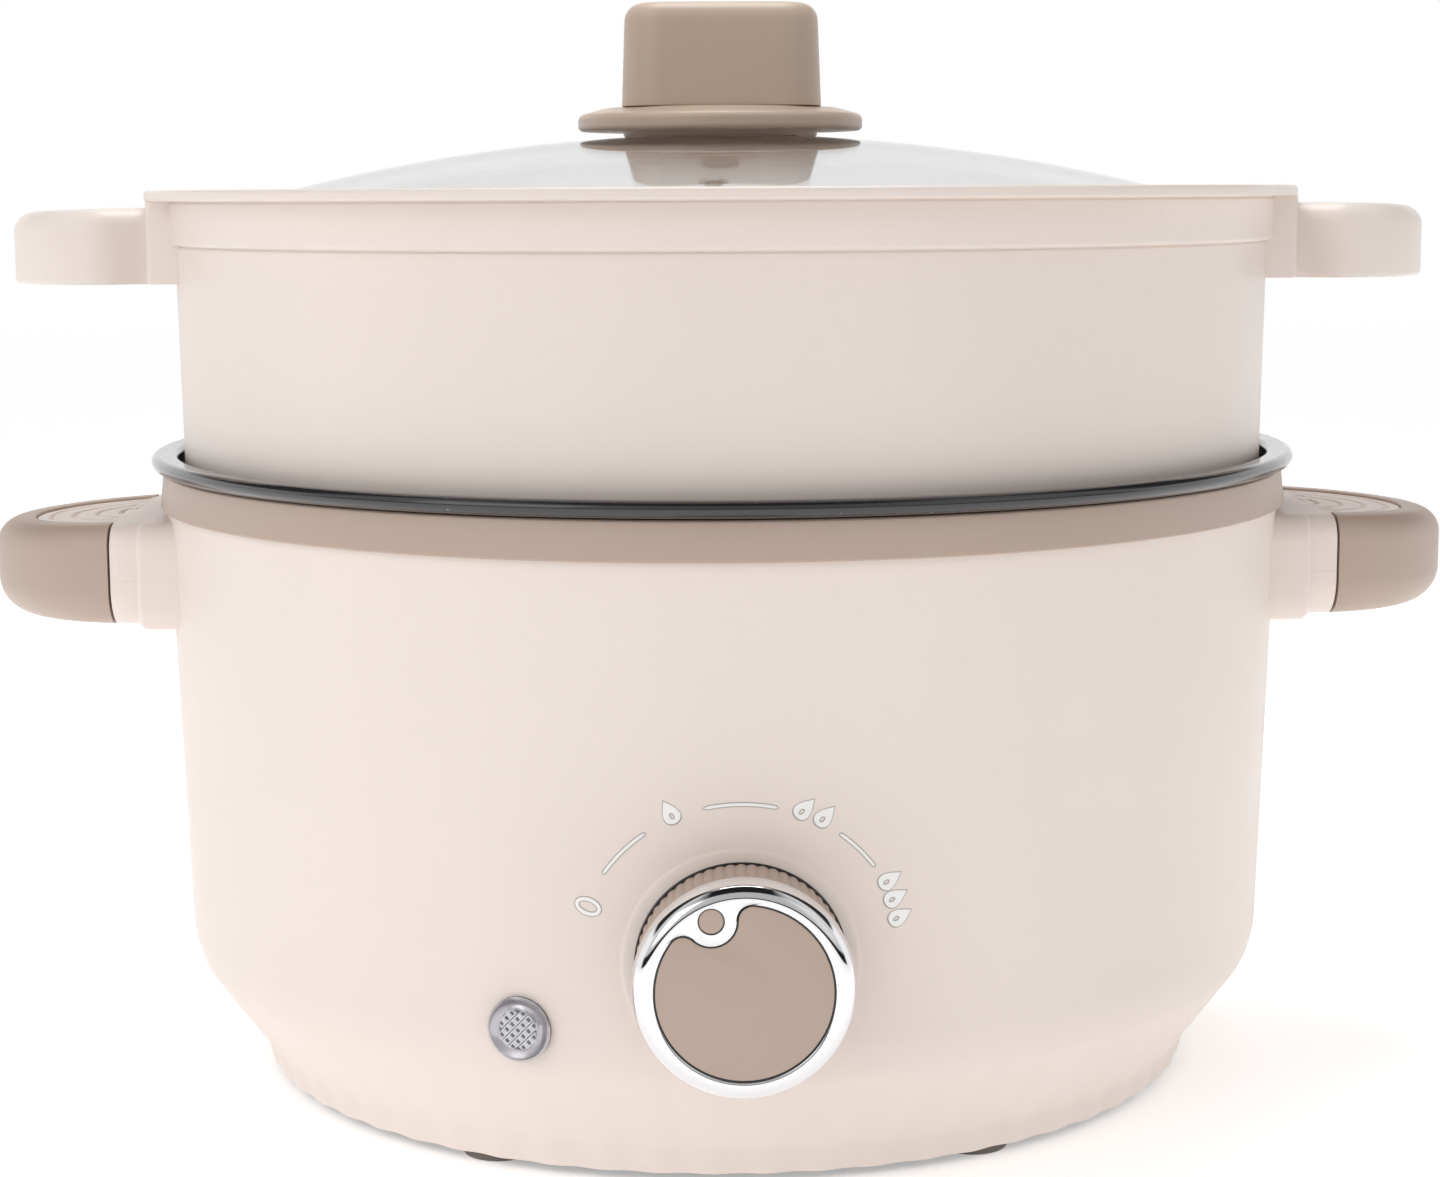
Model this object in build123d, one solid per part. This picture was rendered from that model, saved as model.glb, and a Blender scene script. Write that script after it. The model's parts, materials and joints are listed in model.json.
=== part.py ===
from build123d import *
import math
import os

# A countertop electric pot with a steamer basket stacked in its mouth and a glass lid on top.
# Millimetres, +Z up. The origin is on the pot's axis, on the table. The dial faces -Y.
# A section is a list of (radius, height) points; an azimuth is in degrees from the front towards +X.

# Housing: a cream shell that tapers down to a conical skirt
HOUSING_OUTLINE = [(123.5, 2.5), (125.0, 9.0), (141.0, 31.0), (142.7, 38.0), (146.2, 149.1)]
HOUSING_WALL = 2.6
HOUSING_TOP = HOUSING_OUTLINE[-1][1]
SKIRT_BOTTOM = HOUSING_OUTLINE[0][1]

# Trim ring and inner pot
TRIM_TOP = 158.4
TRIM_RADIUS_LOW = 148.0
TRIM_RADIUS_HIGH = 147.0
TRIM_FLANGE_TOP = 151.3
POT_RIM_RADIUS = 150.0
POT_RIM_Z = 161.1
POT_RIM_TOP = 162.9
POT_MOUTH_RADIUS = 143.1
POT_LEDGE_RADIUS = 134.6
POT_LEDGE_Z = 153.5
POT_WALL = 2.2
POT_FLOOR_RADIUS = 126.0
POT_BASE_Z = 76.0
POT_FLOOR_Z = 79.0
POT_CORNER = 20.0

# Base plate, feet and the fasteners under the pot
PLATE_RADIUS = 120.6
PLATE_THICKNESS = 2.5
PLATE_TOP = SKIRT_BOTTOM + PLATE_THICKNESS
FOOT_RADIUS = 9.0
FOOT_CENTRE = 112.0
FOOT_AZIMUTHS = [30.5, 149.5, 210.5, 329.5]
BASE_SCREW_CENTRE = 108.0
BASE_SCREW_AZIMUTHS = [60, 120, 240, 300]
BOSS_RADIUS = 4.5
BOSS_TOP = 26.0
STUD_CENTRE = 55.0
STUD_AZIMUTHS = [60, 180, 300]
STUD_RADIUS = 2.0

# Dial and thermostat, on an axis along Y
DIAL_Z = 58.0
DIAL_BACK = 145.0
DIAL_SKIRT_RADIUS = 23.7
DIAL_SKIRT_DEPTH = 14.2
BEZEL_RADIUS = 24.5
BEZEL_FRONT = 166.0
FACE_RADIUS = 19.6
FACE_DEPTH = 3.0
ISLAND_RADIUS = 5.5
DOT_RADIUS = 2.7
DOT_OFFSET = 17.6
DOT_AZIMUTH = -24.0
SHAFT_RADIUS = 3.0
SHAFT_CLEARANCE = 0.05
BUSHING_RADIUS = 5.0
THERMOSTAT_RADIUS = 14.0
THERMOSTAT_FRONT = 135.0
THERMOSTAT_BACK = 116.0
THERMOSTAT_BUSHING_END = 143.4
BRACKET_SCREW_X = (-24, 24)
BRACKET_THICKNESS = 1.5

# Indicator lamp
LAMP_AZIMUTH = -20.4
LAMP_Z = 41.5
LAMP_WALL_RADIUS = 142.9
WALL_DRAFT = 1.8
LENS_RADIUS = 7.65
LENS_HEIGHT = 3.2
LENS_BARREL_RADIUS = 5.4

# Power inlet at the rear
INLET_Z = 52.0
INLET_PAD_Y = 146.0
INLET_PAD = (54.0, 34.0)
INLET_OPENING = (24.6, 17.0)
INLET_BODY = (29.0, 21.0)
INLET_DEPTH = 17.0
INLET_FLANGE = 2.4
INLET_SCREW_PITCH = 40.0

# Side handles of the housing
HANDLE_CENTRE = 150.4
HANDLE_RADIUS = 42.2
HANDLE_BOTTOM = 119.9
HANDLE_TOP = 146.3
HANDLE_TOP_FILLET = 6.0
HANDLE_BOTTOM_FILLET = 9.5
HANDLE_SLOPE = 2.5
HANDLE_ROOT = 149.4
HANDLE_SEAM = 156.5
SEAM_GAP = 0.5
HANDLE_PARTING = 132.0
COLLAR_HALF_WIDTH = 44.5
COLLAR_BOTTOM = 118.9
PAD_RADIUS = 32.0
PAD_UNDERSIDE = 139.0
TRAY_RADIUS = 32.0
TRAY_WALL = 2.5
TRAY_BOTTOM = 123.2
TRAY_HEIGHT = 8.0
GRIP_WALL = 3.0
GRIP_HOLLOW_RADIUS = 32.6
GRIP_SCREW_X = 170.0
GRIP_SCREW_Y = (-20, 20)
HANDLE_SCREW_Y = (-24, 24)
HANDLE_SCREW_LIFTS = (-7, 7)

# Steamer basket
STEAMER_FOOT_RADIUS = 141.3
STEAMER_WALL_RADIUS = 142.3
STEAMER_WALL = 2.2
STEP_Z = 216.3
BAND_RADIUS = 144.2
FLANGE_RADIUS = 149.8
FLANGE_BOTTOM = 227.3
FLANGE_TOP = 230.0
LID_SEAT_Z = 218.5
STEAMER_FLOOR_Z = 156.5
STEAM_HOLE_RADIUS = 3.0
TAB_TOP = 225.5
TAB_BOTTOM = 206.6
TAB_NECK_HALF_WIDTH = 35.0
TAB_HALF_WIDTH = 40.0
TAB_WIDEST = 156.0
TAB_TIP = 184.5
TAB_WALL = 2.6
TAB_TIP_FILLET = 5.0
TAB_ROOT = 145.4
TAB_ROOT_HALF_WIDTH = 38.0
STEAM_HOLE_RINGS = 7
STEAM_HOLE_PITCH = 17.0

# Lid and its knob
GLASS_SPHERE = 464.0
GLASS_APEX = 243.9
GLASS_THICKNESS = 3.2
GLASS_EDGE = 139.5
GLASS_HOLE = 4.2
RIM_RADIUS = 141.6
RIM_INNER = 136.8
VENT_CENTRE = 78.0
VENT_RADIUS = 2.6
BRIM_RADIUS = 37.4
BRIM_BOTTOM = 244.8
BRIM_EDGE_TOP = 248.8
BRIM_SKIRT_INNER = 20.5
BRIM_SKIRT_RADIUS = 25.5
BRIM_SKIRT_GAP = 0.15
KNOB_BOTTOM = 250.8
KNOB_TOP = 277.1
KNOB_WIDTH = 51.5
KNOB_TAPER = 1.0
KNOB_CORNER = 11.0
KNOB_CROWN = 4.5

FROM_BELOW = (Align.CENTER, Align.CENTER, Align.MIN)
FULL_TURN = 360


def turned(*points):
    """A solid of revolution about the pot's axis, from its half section."""
    section = make_face(Polyline(*points, close=True))
    return revolve(Plane.XZ * section, Axis.Z)


def polar(radius, azimuth, z=0.0):
    """A point at a radius from the pot's axis."""
    turn = math.radians(azimuth)
    return (radius * math.sin(turn), -radius * math.cos(turn), z)


def rod(radius, length, start, direction=(0, 0, 1)):
    """A round bar that starts at a point and runs along a direction."""
    return Plane(origin=start, z_dir=direction) * Cylinder(radius, length, align=FROM_BELOW)


def tube(outer, inner, length, start, direction=(0, 0, 1)):
    return rod(outer, length, start, direction) - rod(inner, length, start, direction)


def block(low, high):
    """A box between two opposite corners."""
    size = [b - a for a, b in zip(low, high)]
    return Pos(*low) * Box(*size, align=(Align.MIN, Align.MIN, Align.MIN))


def group(solids):
    """Several separate solids as one node."""
    return Compound(children=[solid for shape in solids for solid in shape.solids()])


def front_point(y_out, x=0.0, z=DIAL_Z):
    """A point in front of the pot's axis, y_out millimetres towards the user."""
    return (x, -y_out, z)


def housing_solid(grow):
    """The space inside the housing's outline, with every radius grown."""
    outline = [(r + grow, z) for r, z in HOUSING_OUTLINE]
    return turned((0, SKIRT_BOTTOM), *outline, (0, HOUSING_TOP))


# ---------------------------------------------------------------- the base

def screw_boss(azimuth):
    """A boss for a base screw, with the rib that ties it to the skirt."""
    centre = polar(BASE_SCREW_CENTRE, azimuth, PLATE_TOP + 0.1)
    height = BOSS_TOP - PLATE_TOP - 0.1
    rib = Pos(0, -BASE_SCREW_CENTRE - 20, centre[2]) * Box(2, 40, height, align=FROM_BELOW)
    post = rod(BOSS_RADIUS, height, centre)
    pilot = rod(1.5, 14, centre)
    return (Rot(0, 0, azimuth) * rib + post) & housing_solid(-HOUSING_WALL / 2), pilot


def inlet_box(size, y_from, y_to):
    """A box centred on the inlet's axis, between two distances behind the pot's axis."""
    half_x, half_z = size[0] / 2, size[1] / 2
    return block((-half_x, y_from, INLET_Z - half_z), (half_x, y_to, INLET_Z + half_z))


def inlet_screw_points(y):
    return [(x, y, INLET_Z) for x in (-INLET_SCREW_PITCH / 2, INLET_SCREW_PITCH / 2)]


def lamp_rod(radius, out_from, out_to):
    """A round bar square to the drafted wall at the lamp, between two distances out from the wall."""
    draft = math.radians(WALL_DRAFT)
    reach = LAMP_WALL_RADIUS + out_from * math.cos(draft)
    start = polar(reach, LAMP_AZIMUTH, LAMP_Z - out_from * math.sin(draft))
    return rod(radius, out_to - out_from, start, polar(math.cos(draft), LAMP_AZIMUTH, -math.sin(draft)))


def handle_screw_points(x):
    return [
        (side * x, y, HANDLE_PARTING + lift)
        for side in (-1, 1) for y in HANDLE_SCREW_Y for lift in HANDLE_SCREW_LIFTS
    ]


def housing():
    shell = housing_solid(0) - turned(
        (0, SKIRT_BOTTOM - 1),
        (HOUSING_OUTLINE[0][0] - HOUSING_WALL, SKIRT_BOTTOM - 1),
        *[(r - HOUSING_WALL, z) for r, z in HOUSING_OUTLINE],
        (HOUSING_OUTLINE[-1][0] - HOUSING_WALL, HOUSING_TOP + 1),
        (0, HOUSING_TOP + 1),
    )
    pad = inlet_box(INLET_PAD, 100, INLET_PAD_Y) - housing_solid(-HOUSING_WALL)
    shell += fillet(inlet_box(INLET_PAD, 100, INLET_PAD_Y).edges().filter_by(Axis.Y), 5) & pad
    for azimuth in BASE_SCREW_AZIMUTHS:
        boss, pilot = screw_boss(azimuth)
        shell = shell + boss - pilot
    shell -= inlet_box((INLET_BODY[0] + 0.4, INLET_BODY[1] + 0.4), 100, 160)
    shell -= rod(BUSHING_RADIUS + 0.3, 40, front_point(120), (0, -1, 0))
    shell -= lamp_rod(LENS_BARREL_RADIUS + 0.2, -15, 15)
    for point in inlet_screw_points(120):
        shell -= rod(1.3, 40, point, (0, 1, 0))
    for x in BRACKET_SCREW_X:
        spacer = rod(4, 6, front_point(THERMOSTAT_FRONT + 1.7, x), (0, -1, 0))
        shell += spacer & housing_solid(-HOUSING_WALL / 2)
        shell -= rod(1.5, 4.6, front_point(THERMOSTAT_FRONT, x), (0, -1, 0))
    for x, y, z in handle_screw_points(100):
        shell -= rod(2.2, 60, (x, y, z), (x, 0, 0))
    return shell


def trim_ring():
    return turned(
        (138.5, HOUSING_TOP),
        (TRIM_RADIUS_LOW, HOUSING_TOP),
        (TRIM_RADIUS_HIGH, TRIM_TOP),
        (POT_MOUTH_RADIUS + POT_WALL + 0.2, TRIM_TOP),
        (POT_MOUTH_RADIUS + POT_WALL + 0.2, TRIM_FLANGE_TOP),
        (138.5, TRIM_FLANGE_TOP),
    )


def inner_pot():
    """The cooking pot: a floor, a wall, a ledge for the steamer and a rolled rim."""
    mouth_outer = POT_MOUTH_RADIUS + POT_WALL
    ledge_outer = POT_LEDGE_RADIUS + POT_WALL
    pot = turned(
        (0, POT_BASE_Z),
        (POT_FLOOR_RADIUS + POT_WALL, POT_BASE_Z),
        (ledge_outer, TRIM_FLANGE_TOP),
        (mouth_outer, TRIM_FLANGE_TOP),
        (mouth_outer, TRIM_TOP + 0.2),
        (147.4, TRIM_TOP + 0.2),
        (149.4, POT_RIM_Z - 1.2),
        (POT_RIM_RADIUS, POT_RIM_Z),
        (149.3, POT_RIM_TOP - 0.6),
        (147.4, POT_RIM_TOP),
        (POT_MOUTH_RADIUS, POT_RIM_TOP - 0.6),
        (POT_MOUTH_RADIUS, POT_LEDGE_Z),
        (POT_LEDGE_RADIUS, POT_LEDGE_Z),
        (POT_FLOOR_RADIUS, POT_FLOOR_Z),
        (0, POT_FLOOR_Z),
    )
    outer_corner = pot.edges().filter_by(GeomType.CIRCLE).sort_by(Axis.Z)[0]
    pot = fillet(outer_corner, POT_CORNER + POT_WALL)
    inner_corner = [
        e for e in pot.edges().filter_by(GeomType.CIRCLE)
        if abs(e.radius - POT_FLOOR_RADIUS) < 0.2 and abs(e.center().Z - POT_FLOOR_Z) < 0.2
    ]
    return fillet(inner_corner, POT_CORNER)


def heating_element():
    """A tubular element bent round in a ring, with a sleeve and a terminal pin at each cold end."""
    ring_radius, tube_radius, gap_deg = 78.0, 4.0, 40.0
    sleeve_radius, sleeve_drop = 4.8, 16.0
    level = POT_BASE_Z - tube_radius - 0.15
    arc = CenterArc((0, 0, level), ring_radius, 90 + gap_deg / 2, FULL_TURN - gap_deg)
    element = sweep(Plane(origin=arc @ 0, z_dir=arc % 0) * Circle(tube_radius), path=arc)
    for end in (arc @ 0, arc @ 1):
        foot = (end.X, end.Y, level - sleeve_drop)
        element += rod(sleeve_radius, sleeve_drop + tube_radius + 0.1, foot)
        element += rod(1.6, 8, (end.X, end.Y, foot[2] - 8))
    return element


def heat_shield():
    """A thin pan under the element that keeps its heat off the base plate."""
    shield = turned((0, 62), (98, 62), (102, 70), (101, 70), (97.3, 63), (0, 63))
    for azimuth in STUD_AZIMUTHS:
        shield -= rod(STUD_RADIUS + 0.5, 10, polar(STUD_CENTRE, azimuth, 58))
    for angle in (110, 70):
        turn = math.radians(angle)
        shield -= rod(6, 10, (78 * math.cos(turn), 78 * math.sin(turn), 58))
    return shield - rod(9, 10, (0, 0, 58))


def pot_studs():
    return group(
        rod(STUD_RADIUS, POT_BASE_Z - 3.5, polar(STUD_CENTRE, azimuth, 3.5)) for azimuth in STUD_AZIMUTHS
    )


def hexagon_nut(across, height, bore, start):
    nut = Pos(*start) * extrude(RegularPolygon(across / math.sqrt(3), 6), height)
    return nut - rod(bore, height, start)


def stud_nuts():
    """One set clamps the heat shield, the other the base plate."""
    levels = (57.0, 3.0)
    return group(
        hexagon_nut(7, 3.2, STUD_RADIUS, polar(STUD_CENTRE, azimuth, z))
        for z in levels for azimuth in STUD_AZIMUTHS
    )


def shield_spacers():
    """Sleeves on the studs that hold the shield below the pot."""
    return group(
        tube(4, STUD_RADIUS + 0.1, POT_BASE_Z - 63.2, polar(STUD_CENTRE, azimuth, 63.1))
        for azimuth in STUD_AZIMUTHS
    )


def base_plate():
    plate = rod(PLATE_RADIUS, PLATE_THICKNESS, (0, 0, SKIRT_BOTTOM))
    for azimuth in STUD_AZIMUTHS:
        centre = polar(STUD_CENTRE, azimuth, SKIRT_BOTTOM)
        plate += rod(8, 9, centre)
        plate -= rod(4.6, 4, centre)
        plate -= rod(STUD_RADIUS + 0.3, 12, centre)
    for azimuth in FOOT_AZIMUTHS:
        plate -= rod(3.1, 5, polar(FOOT_CENTRE, azimuth, SKIRT_BOTTOM - 1))
    for azimuth in BASE_SCREW_AZIMUTHS:
        centre = polar(BASE_SCREW_CENTRE, azimuth, SKIRT_BOTTOM)
        plate -= rod(1.9, 5, centre)
        plate -= rod(3.7, 1.3, centre)
    slot = SlotOverall(26, 3.2)
    for ring_radius, count in ((78, 20), (92, 24)):
        for k in range(count):
            angle = FULL_TURN * (k + 0.5) / count
            vent = Rot(0, 0, angle) * Pos(ring_radius, 0, SKIRT_BOTTOM - 1) * extrude(
                SlotOverall(11, 3), PLATE_THICKNESS + 2
            )
            plate -= vent
    for y in (-14, -7, 0, 7, 14):
        plate -= Pos(0, y, SKIRT_BOTTOM - 1) * extrude(slot, PLATE_THICKNESS + 2)
    return plate


def base_screws():
    """Pan-head screws that hold the base plate to the housing's bosses."""
    screws = []
    for azimuth in BASE_SCREW_AZIMUTHS:
        head = rod(3.4, 1.1, polar(BASE_SCREW_CENTRE, azimuth, SKIRT_BOTTOM + 0.1))
        head -= Pos(*polar(BASE_SCREW_CENTRE, azimuth, SKIRT_BOTTOM + 0.3)) * Box(3.4, 0.8, 0.8)
        shank = rod(1.5, 12, polar(BASE_SCREW_CENTRE, azimuth, SKIRT_BOTTOM + 1.2))
        screws.append(head + shank)
    return group(screws)


def feet():
    """Rubber feet, each with a stem through the base plate."""
    pads = []
    for azimuth in FOOT_AZIMUTHS:
        pad = rod(FOOT_RADIUS, SKIRT_BOTTOM, polar(FOOT_CENTRE, azimuth, 0))
        pad = chamfer(pad.edges().sort_by(Axis.Z)[0], 0.6)
        stem = rod(3.0, PLATE_THICKNESS, polar(FOOT_CENTRE, azimuth, SKIRT_BOTTOM))
        barb = rod(4.2, 1.6, polar(FOOT_CENTRE, azimuth, PLATE_TOP))
        pads.append(pad + stem + barb)
    return group(pads)


def terminal_block():
    body = block((34, 18, PLATE_TOP), (64, 34, PLATE_TOP + 14))
    for x in (41, 49, 57):
        body -= rod(2.2, 6, (x, 26, PLATE_TOP + 9))
        body -= rod(1.8, 20, (x, 16, PLATE_TOP + 5), (0, 1, 0))
    return body


def thermal_cutoff():
    """A cutoff disc sprung against the pot's underside."""
    return rod(7, 8, (0, 0, POT_BASE_Z - 8.1)) + rod(3, 6, (0, 0, POT_BASE_Z - 14.1))


def wire(radius, points, bend):
    path = FilletPolyline(*points, radius=bend)
    return sweep(Plane(origin=path @ 0, z_dir=path % 0) * Circle(radius), path=path)


def wiring():
    """Sleeved leads: inlet to terminal block, and terminal block to thermostat."""
    y_in = INLET_PAD_Y - INLET_DEPTH - 6.2
    leads = [
        wire(1.5, [(7, y_in, INLET_Z), (7, 100, INLET_Z), (41, 60, 24), (41, 36, 10.5)], 8),
        wire(1.5, [(-7, y_in, INLET_Z), (-7, 96, INLET_Z), (16, 70, 20), (30, 44, 10.5), (49, 36, 10.5)], 6),
        wire(1.5, [(41, 15.5, 10.5), (41, 0, 10.5), (30, -40, 20), (20, -84, 30), (6, -112, 50)], 6),
    ]
    return group(leads)


def thermostat_body():
    """A capillary-type thermostat can with its threaded bushing."""
    depth = THERMOSTAT_FRONT - THERMOSTAT_BACK
    can = rod(THERMOSTAT_RADIUS, depth, front_point(THERMOSTAT_FRONT), (0, 1, 0))
    bushing_length = THERMOSTAT_BUSHING_END - THERMOSTAT_FRONT
    bushing = rod(BUSHING_RADIUS, bushing_length, front_point(THERMOSTAT_FRONT), (0, -1, 0))
    tabs = group(
        block((x - 3, -THERMOSTAT_BACK, DIAL_Z - 6), (x + 3, -THERMOSTAT_BACK + 7, DIAL_Z - 5.2))
        for x in (-7, 7)
    )
    bore = rod(SHAFT_RADIUS + SHAFT_CLEARANCE, 40, front_point(122), (0, -1, 0))
    return can + bushing + tabs - bore


def thermostat_bracket():
    """A bent strap that screws to the wall's inside and holds the thermostat."""
    y_out = THERMOSTAT_FRONT + 0.1 + BRACKET_THICKNESS
    plate = block((-30, -y_out, DIAL_Z - 9), (30, -THERMOSTAT_FRONT - 0.1, DIAL_Z + 9))
    plate -= rod(BUSHING_RADIUS + 0.1, 10, front_point(130), (0, -1, 0))
    for x in BRACKET_SCREW_X:
        plate -= rod(1.7, 10, front_point(130, x), (0, -1, 0))
    return plate


def thermostat_screws():
    """Screws that hold the bracket on the two wall spacers."""
    screws = []
    for x in BRACKET_SCREW_X:
        head = rod(3, 2, front_point(THERMOSTAT_FRONT, x), (0, 1, 0))
        shank = rod(1.45, 4.5, front_point(THERMOSTAT_FRONT, x), (0, -1, 0))
        screws.append(head + shank)
    return group(screws)


def indicator_lens():
    """A clear domed lens with a barrel through the wall."""
    flange = lamp_rod(LENS_RADIUS, 0, LENS_HEIGHT)
    outer_edge = flange.edges().filter_by(GeomType.CIRCLE).sort_by(Axis.Y)[0]
    dome = fillet(outer_edge, LENS_HEIGHT - 0.7)
    barrel = lamp_rod(LENS_BARREL_RADIUS, -13, 0.5)
    hollow = lamp_rod(4.2, -14, 0.8)
    return dome + barrel - hollow


def indicator_nut():
    """The push nut that holds the lens from inside."""
    return lamp_rod(9, -7, -5) - lamp_rod(LENS_BARREL_RADIUS + 0.05, -8, -4)


def indicator_lamp():
    """A neon lamp inside the lens barrel."""
    glass = lamp_rod(3.2, -15, -2)
    leads = [Pos(0, 0, offset) * lamp_rod(0.5, -21, -14.5) for offset in (-1.6, 1.6)]
    return glass + leads


def power_inlet():
    """A rear appliance inlet: flange, body and the recess for the plug."""
    flange = inlet_box((INLET_PAD[0] - 4, INLET_PAD[1] - 8), INLET_PAD_Y, INLET_PAD_Y + INLET_FLANGE)
    flange = fillet(flange.edges().filter_by(Axis.Y), 6)
    body = inlet_box(INLET_BODY, INLET_PAD_Y - INLET_DEPTH - 2, INLET_PAD_Y)
    recess = inlet_box(INLET_OPENING, INLET_PAD_Y - INLET_DEPTH, INLET_PAD_Y + 3)
    inlet = flange + body - recess
    for x, z in inlet_pin_places():
        inlet -= inlet_pin_box(x, z, 0.0)
    for point in inlet_screw_points(INLET_PAD_Y - 1):
        inlet -= rod(1.8, 5, point, (0, 1, 0))
    return inlet


def inlet_pin_places():
    return [(-7, INLET_Z - 2), (7, INLET_Z - 2), (0, INLET_Z + 2)]


def inlet_pin_box(x, z, grow):
    half_width, half_height = 1.0 + grow, 2.0 + grow
    low = (x - half_width, INLET_PAD_Y - INLET_DEPTH - 6, z - half_height)
    high = (x + half_width, INLET_PAD_Y - 3.5, z + half_height)
    return block(low, high)


def inlet_pins():
    return group(inlet_pin_box(x, z, 0.0) for x, z in inlet_pin_places())


def inlet_screws():
    seats = inlet_screw_points(INLET_PAD_Y + INLET_FLANGE)
    return group(rod(3.2, 1.6, seat, (0, 1, 0)) + rod(1.25, 9, seat, (0, -1, 0)) for seat in seats)


# ---------------------------------------------------------------- side handles

def half_disc(radius, root):
    """A handle's plan: the part of a disc beyond its root."""
    disc = Pos(HANDLE_CENTRE, 0) * Circle(radius)
    kept = Pos(root + radius, 0) * Rectangle(2 * radius, 3 * radius)
    return disc & kept


def above_handle(drop=0.0):
    """The space above a handle's sloping top."""
    slab = Box(120, 120, 60, align=FROM_BELOW)
    return Pos(HANDLE_ROOT, 0, HANDLE_TOP - drop) * Rot(0, HANDLE_SLOPE, 0) * slab


def handle_blank():
    """The whole handle from collar to tip, before it is divided into its mouldings."""
    blank = Pos(0, 0, HANDLE_BOTTOM) * extrude(half_disc(HANDLE_RADIUS, HANDLE_ROOT), 40)
    blank -= above_handle()
    rim = [e for e in blank.edges() if e.center().X > HANDLE_ROOT + 1]
    top = [e for e in rim if e.center().Z > HANDLE_TOP - 6]
    blank = fillet(top, HANDLE_TOP_FILLET)
    low = [e for e in blank.edges() if e.center().Z < HANDLE_BOTTOM + 0.1]
    bottom = [e for e in low if e.center().X > HANDLE_ROOT + 1]
    return fillet(bottom, HANDLE_BOTTOM_FILLET)


def collar():
    """The raised block where a handle meets the housing's wall."""
    base = block((120, -COLLAR_HALF_WIDTH, COLLAR_BOTTOM), (HANDLE_ROOT, COLLAR_HALF_WIDTH, HANDLE_TOP + 0.2))
    base = fillet(base.edges().filter_by(Axis.X), 7)
    base = fillet(base.faces().sort_by(Axis.X)[-1].edges(), 1.6)
    return base - housing_solid(0.1)


def handle_upper():
    """The top half of the collar and arm, with the ribbed pad that fills the grip's top."""
    arm = handle_blank() & block((HANDLE_ROOT, -60, HANDLE_PARTING), (HANDLE_SEAM, 60, 160))
    half = collar() & block((100, -60, HANDLE_PARTING), (HANDLE_ROOT, 60, 160))
    pad = Pos(0, 0, PAD_UNDERSIDE) * extrude(half_disc(PAD_RADIUS, HANDLE_SEAM), 10)
    pad -= above_handle(0.6)
    upper = arm + half + pad
    for y in GRIP_SCREW_Y:
        upper += rod(3.6, PAD_UNDERSIDE - HANDLE_PARTING - 0.5, (GRIP_SCREW_X, y, HANDLE_PARTING + 0.5))
        upper -= rod(1.3, 8, (GRIP_SCREW_X, y, HANDLE_PARTING - 0.5))
    for x, y, z in handle_screw_points(120):
        if x > 0 and z > HANDLE_PARTING:
            upper -= rod(1.4, 26, (x, y, z), (1, 0, 0))
    return upper


def handle_lower():
    """The bottom half of the collar and arm, with the tray that the grip covers."""
    arm = handle_blank() & block((HANDLE_ROOT, -60, 100), (HANDLE_SEAM, 60, HANDLE_PARTING - 0.1))
    half = collar() & block((100, -60, 100), (HANDLE_ROOT, 60, HANDLE_PARTING - 0.1))
    tray = Pos(0, 0, TRAY_BOTTOM) * extrude(half_disc(TRAY_RADIUS, HANDLE_SEAM), TRAY_HEIGHT)
    hollow = half_disc(TRAY_RADIUS - TRAY_WALL, HANDLE_SEAM + 2)
    tray -= Pos(0, 0, TRAY_BOTTOM + TRAY_WALL) * extrude(hollow, TRAY_HEIGHT)
    lower = arm + half + tray
    for y in GRIP_SCREW_Y:
        lower -= rod(1.8, 8, (GRIP_SCREW_X, y, HANDLE_BOTTOM))
    for x, y, z in handle_screw_points(120):
        if x > 0 and z < HANDLE_PARTING:
            lower -= rod(1.4, 26, (x, y, z), (1, 0, 0))
    return lower


def grip():
    """The brown shell that wraps the handle's end, open at its root and round its pad."""
    root = HANDLE_SEAM + SEAM_GAP
    shell = handle_blank() & block((root, -60, 100), (220, 60, 160))
    hollow_height = PAD_UNDERSIDE - 0.5 - HANDLE_BOTTOM - GRIP_WALL
    hollow = extrude(half_disc(GRIP_HOLLOW_RADIUS, HANDLE_SEAM), hollow_height)
    shell -= Pos(0, 0, HANDLE_BOTTOM + GRIP_WALL) * hollow
    shell -= Pos(0, 0, HANDLE_PARTING) * extrude(half_disc(PAD_RADIUS + 0.2, HANDLE_SEAM), 40)
    for y in GRIP_SCREW_Y:
        shell -= rod(1.8, 8, (GRIP_SCREW_X, y, HANDLE_BOTTOM - 3))
        shell -= rod(3.6, 1.6, (GRIP_SCREW_X, y, HANDLE_BOTTOM))
    return shell


def handle_screws():
    """Screws from inside the housing into both halves of each collar."""
    screws = []
    inner_radius = HOUSING_OUTLINE[-1][0] - 3.0
    for x, y, z in handle_screw_points(1):
        inside = math.sqrt(inner_radius ** 2 - y ** 2) - HOUSING_WALL - 2.2
        head = rod(3.4, 1.8, (x * (inside - 1.8), y, z), (x, 0, 0))
        screws.append(head + rod(1.35, 9, (x * inside, y, z), (x, 0, 0)))
    return group(screws)


def grip_screws():
    """Screws from under each grip, through the tray, into the pad's posts."""
    screws = []
    for side in (-1, 1):
        for y in GRIP_SCREW_Y:
            head = rod(3.4, 1.4, (side * GRIP_SCREW_X, y, HANDLE_BOTTOM + 0.1))
            shank = rod(1.25, 16, (side * GRIP_SCREW_X, y, HANDLE_BOTTOM + 1.4))
            screws.append(head + shank)
    return group(screws)


# ---------------------------------------------------------------- the dial

def dial_part(*points):
    """A solid of revolution about the dial's axis, from (radius, distance towards the user) points."""
    section = make_face(Polyline(*points, close=True))
    solid = revolve(Plane.XZ * section, Axis.Z)
    return Pos(0, 0, DIAL_Z) * Rot(90, 0, 0) * solid


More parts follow.
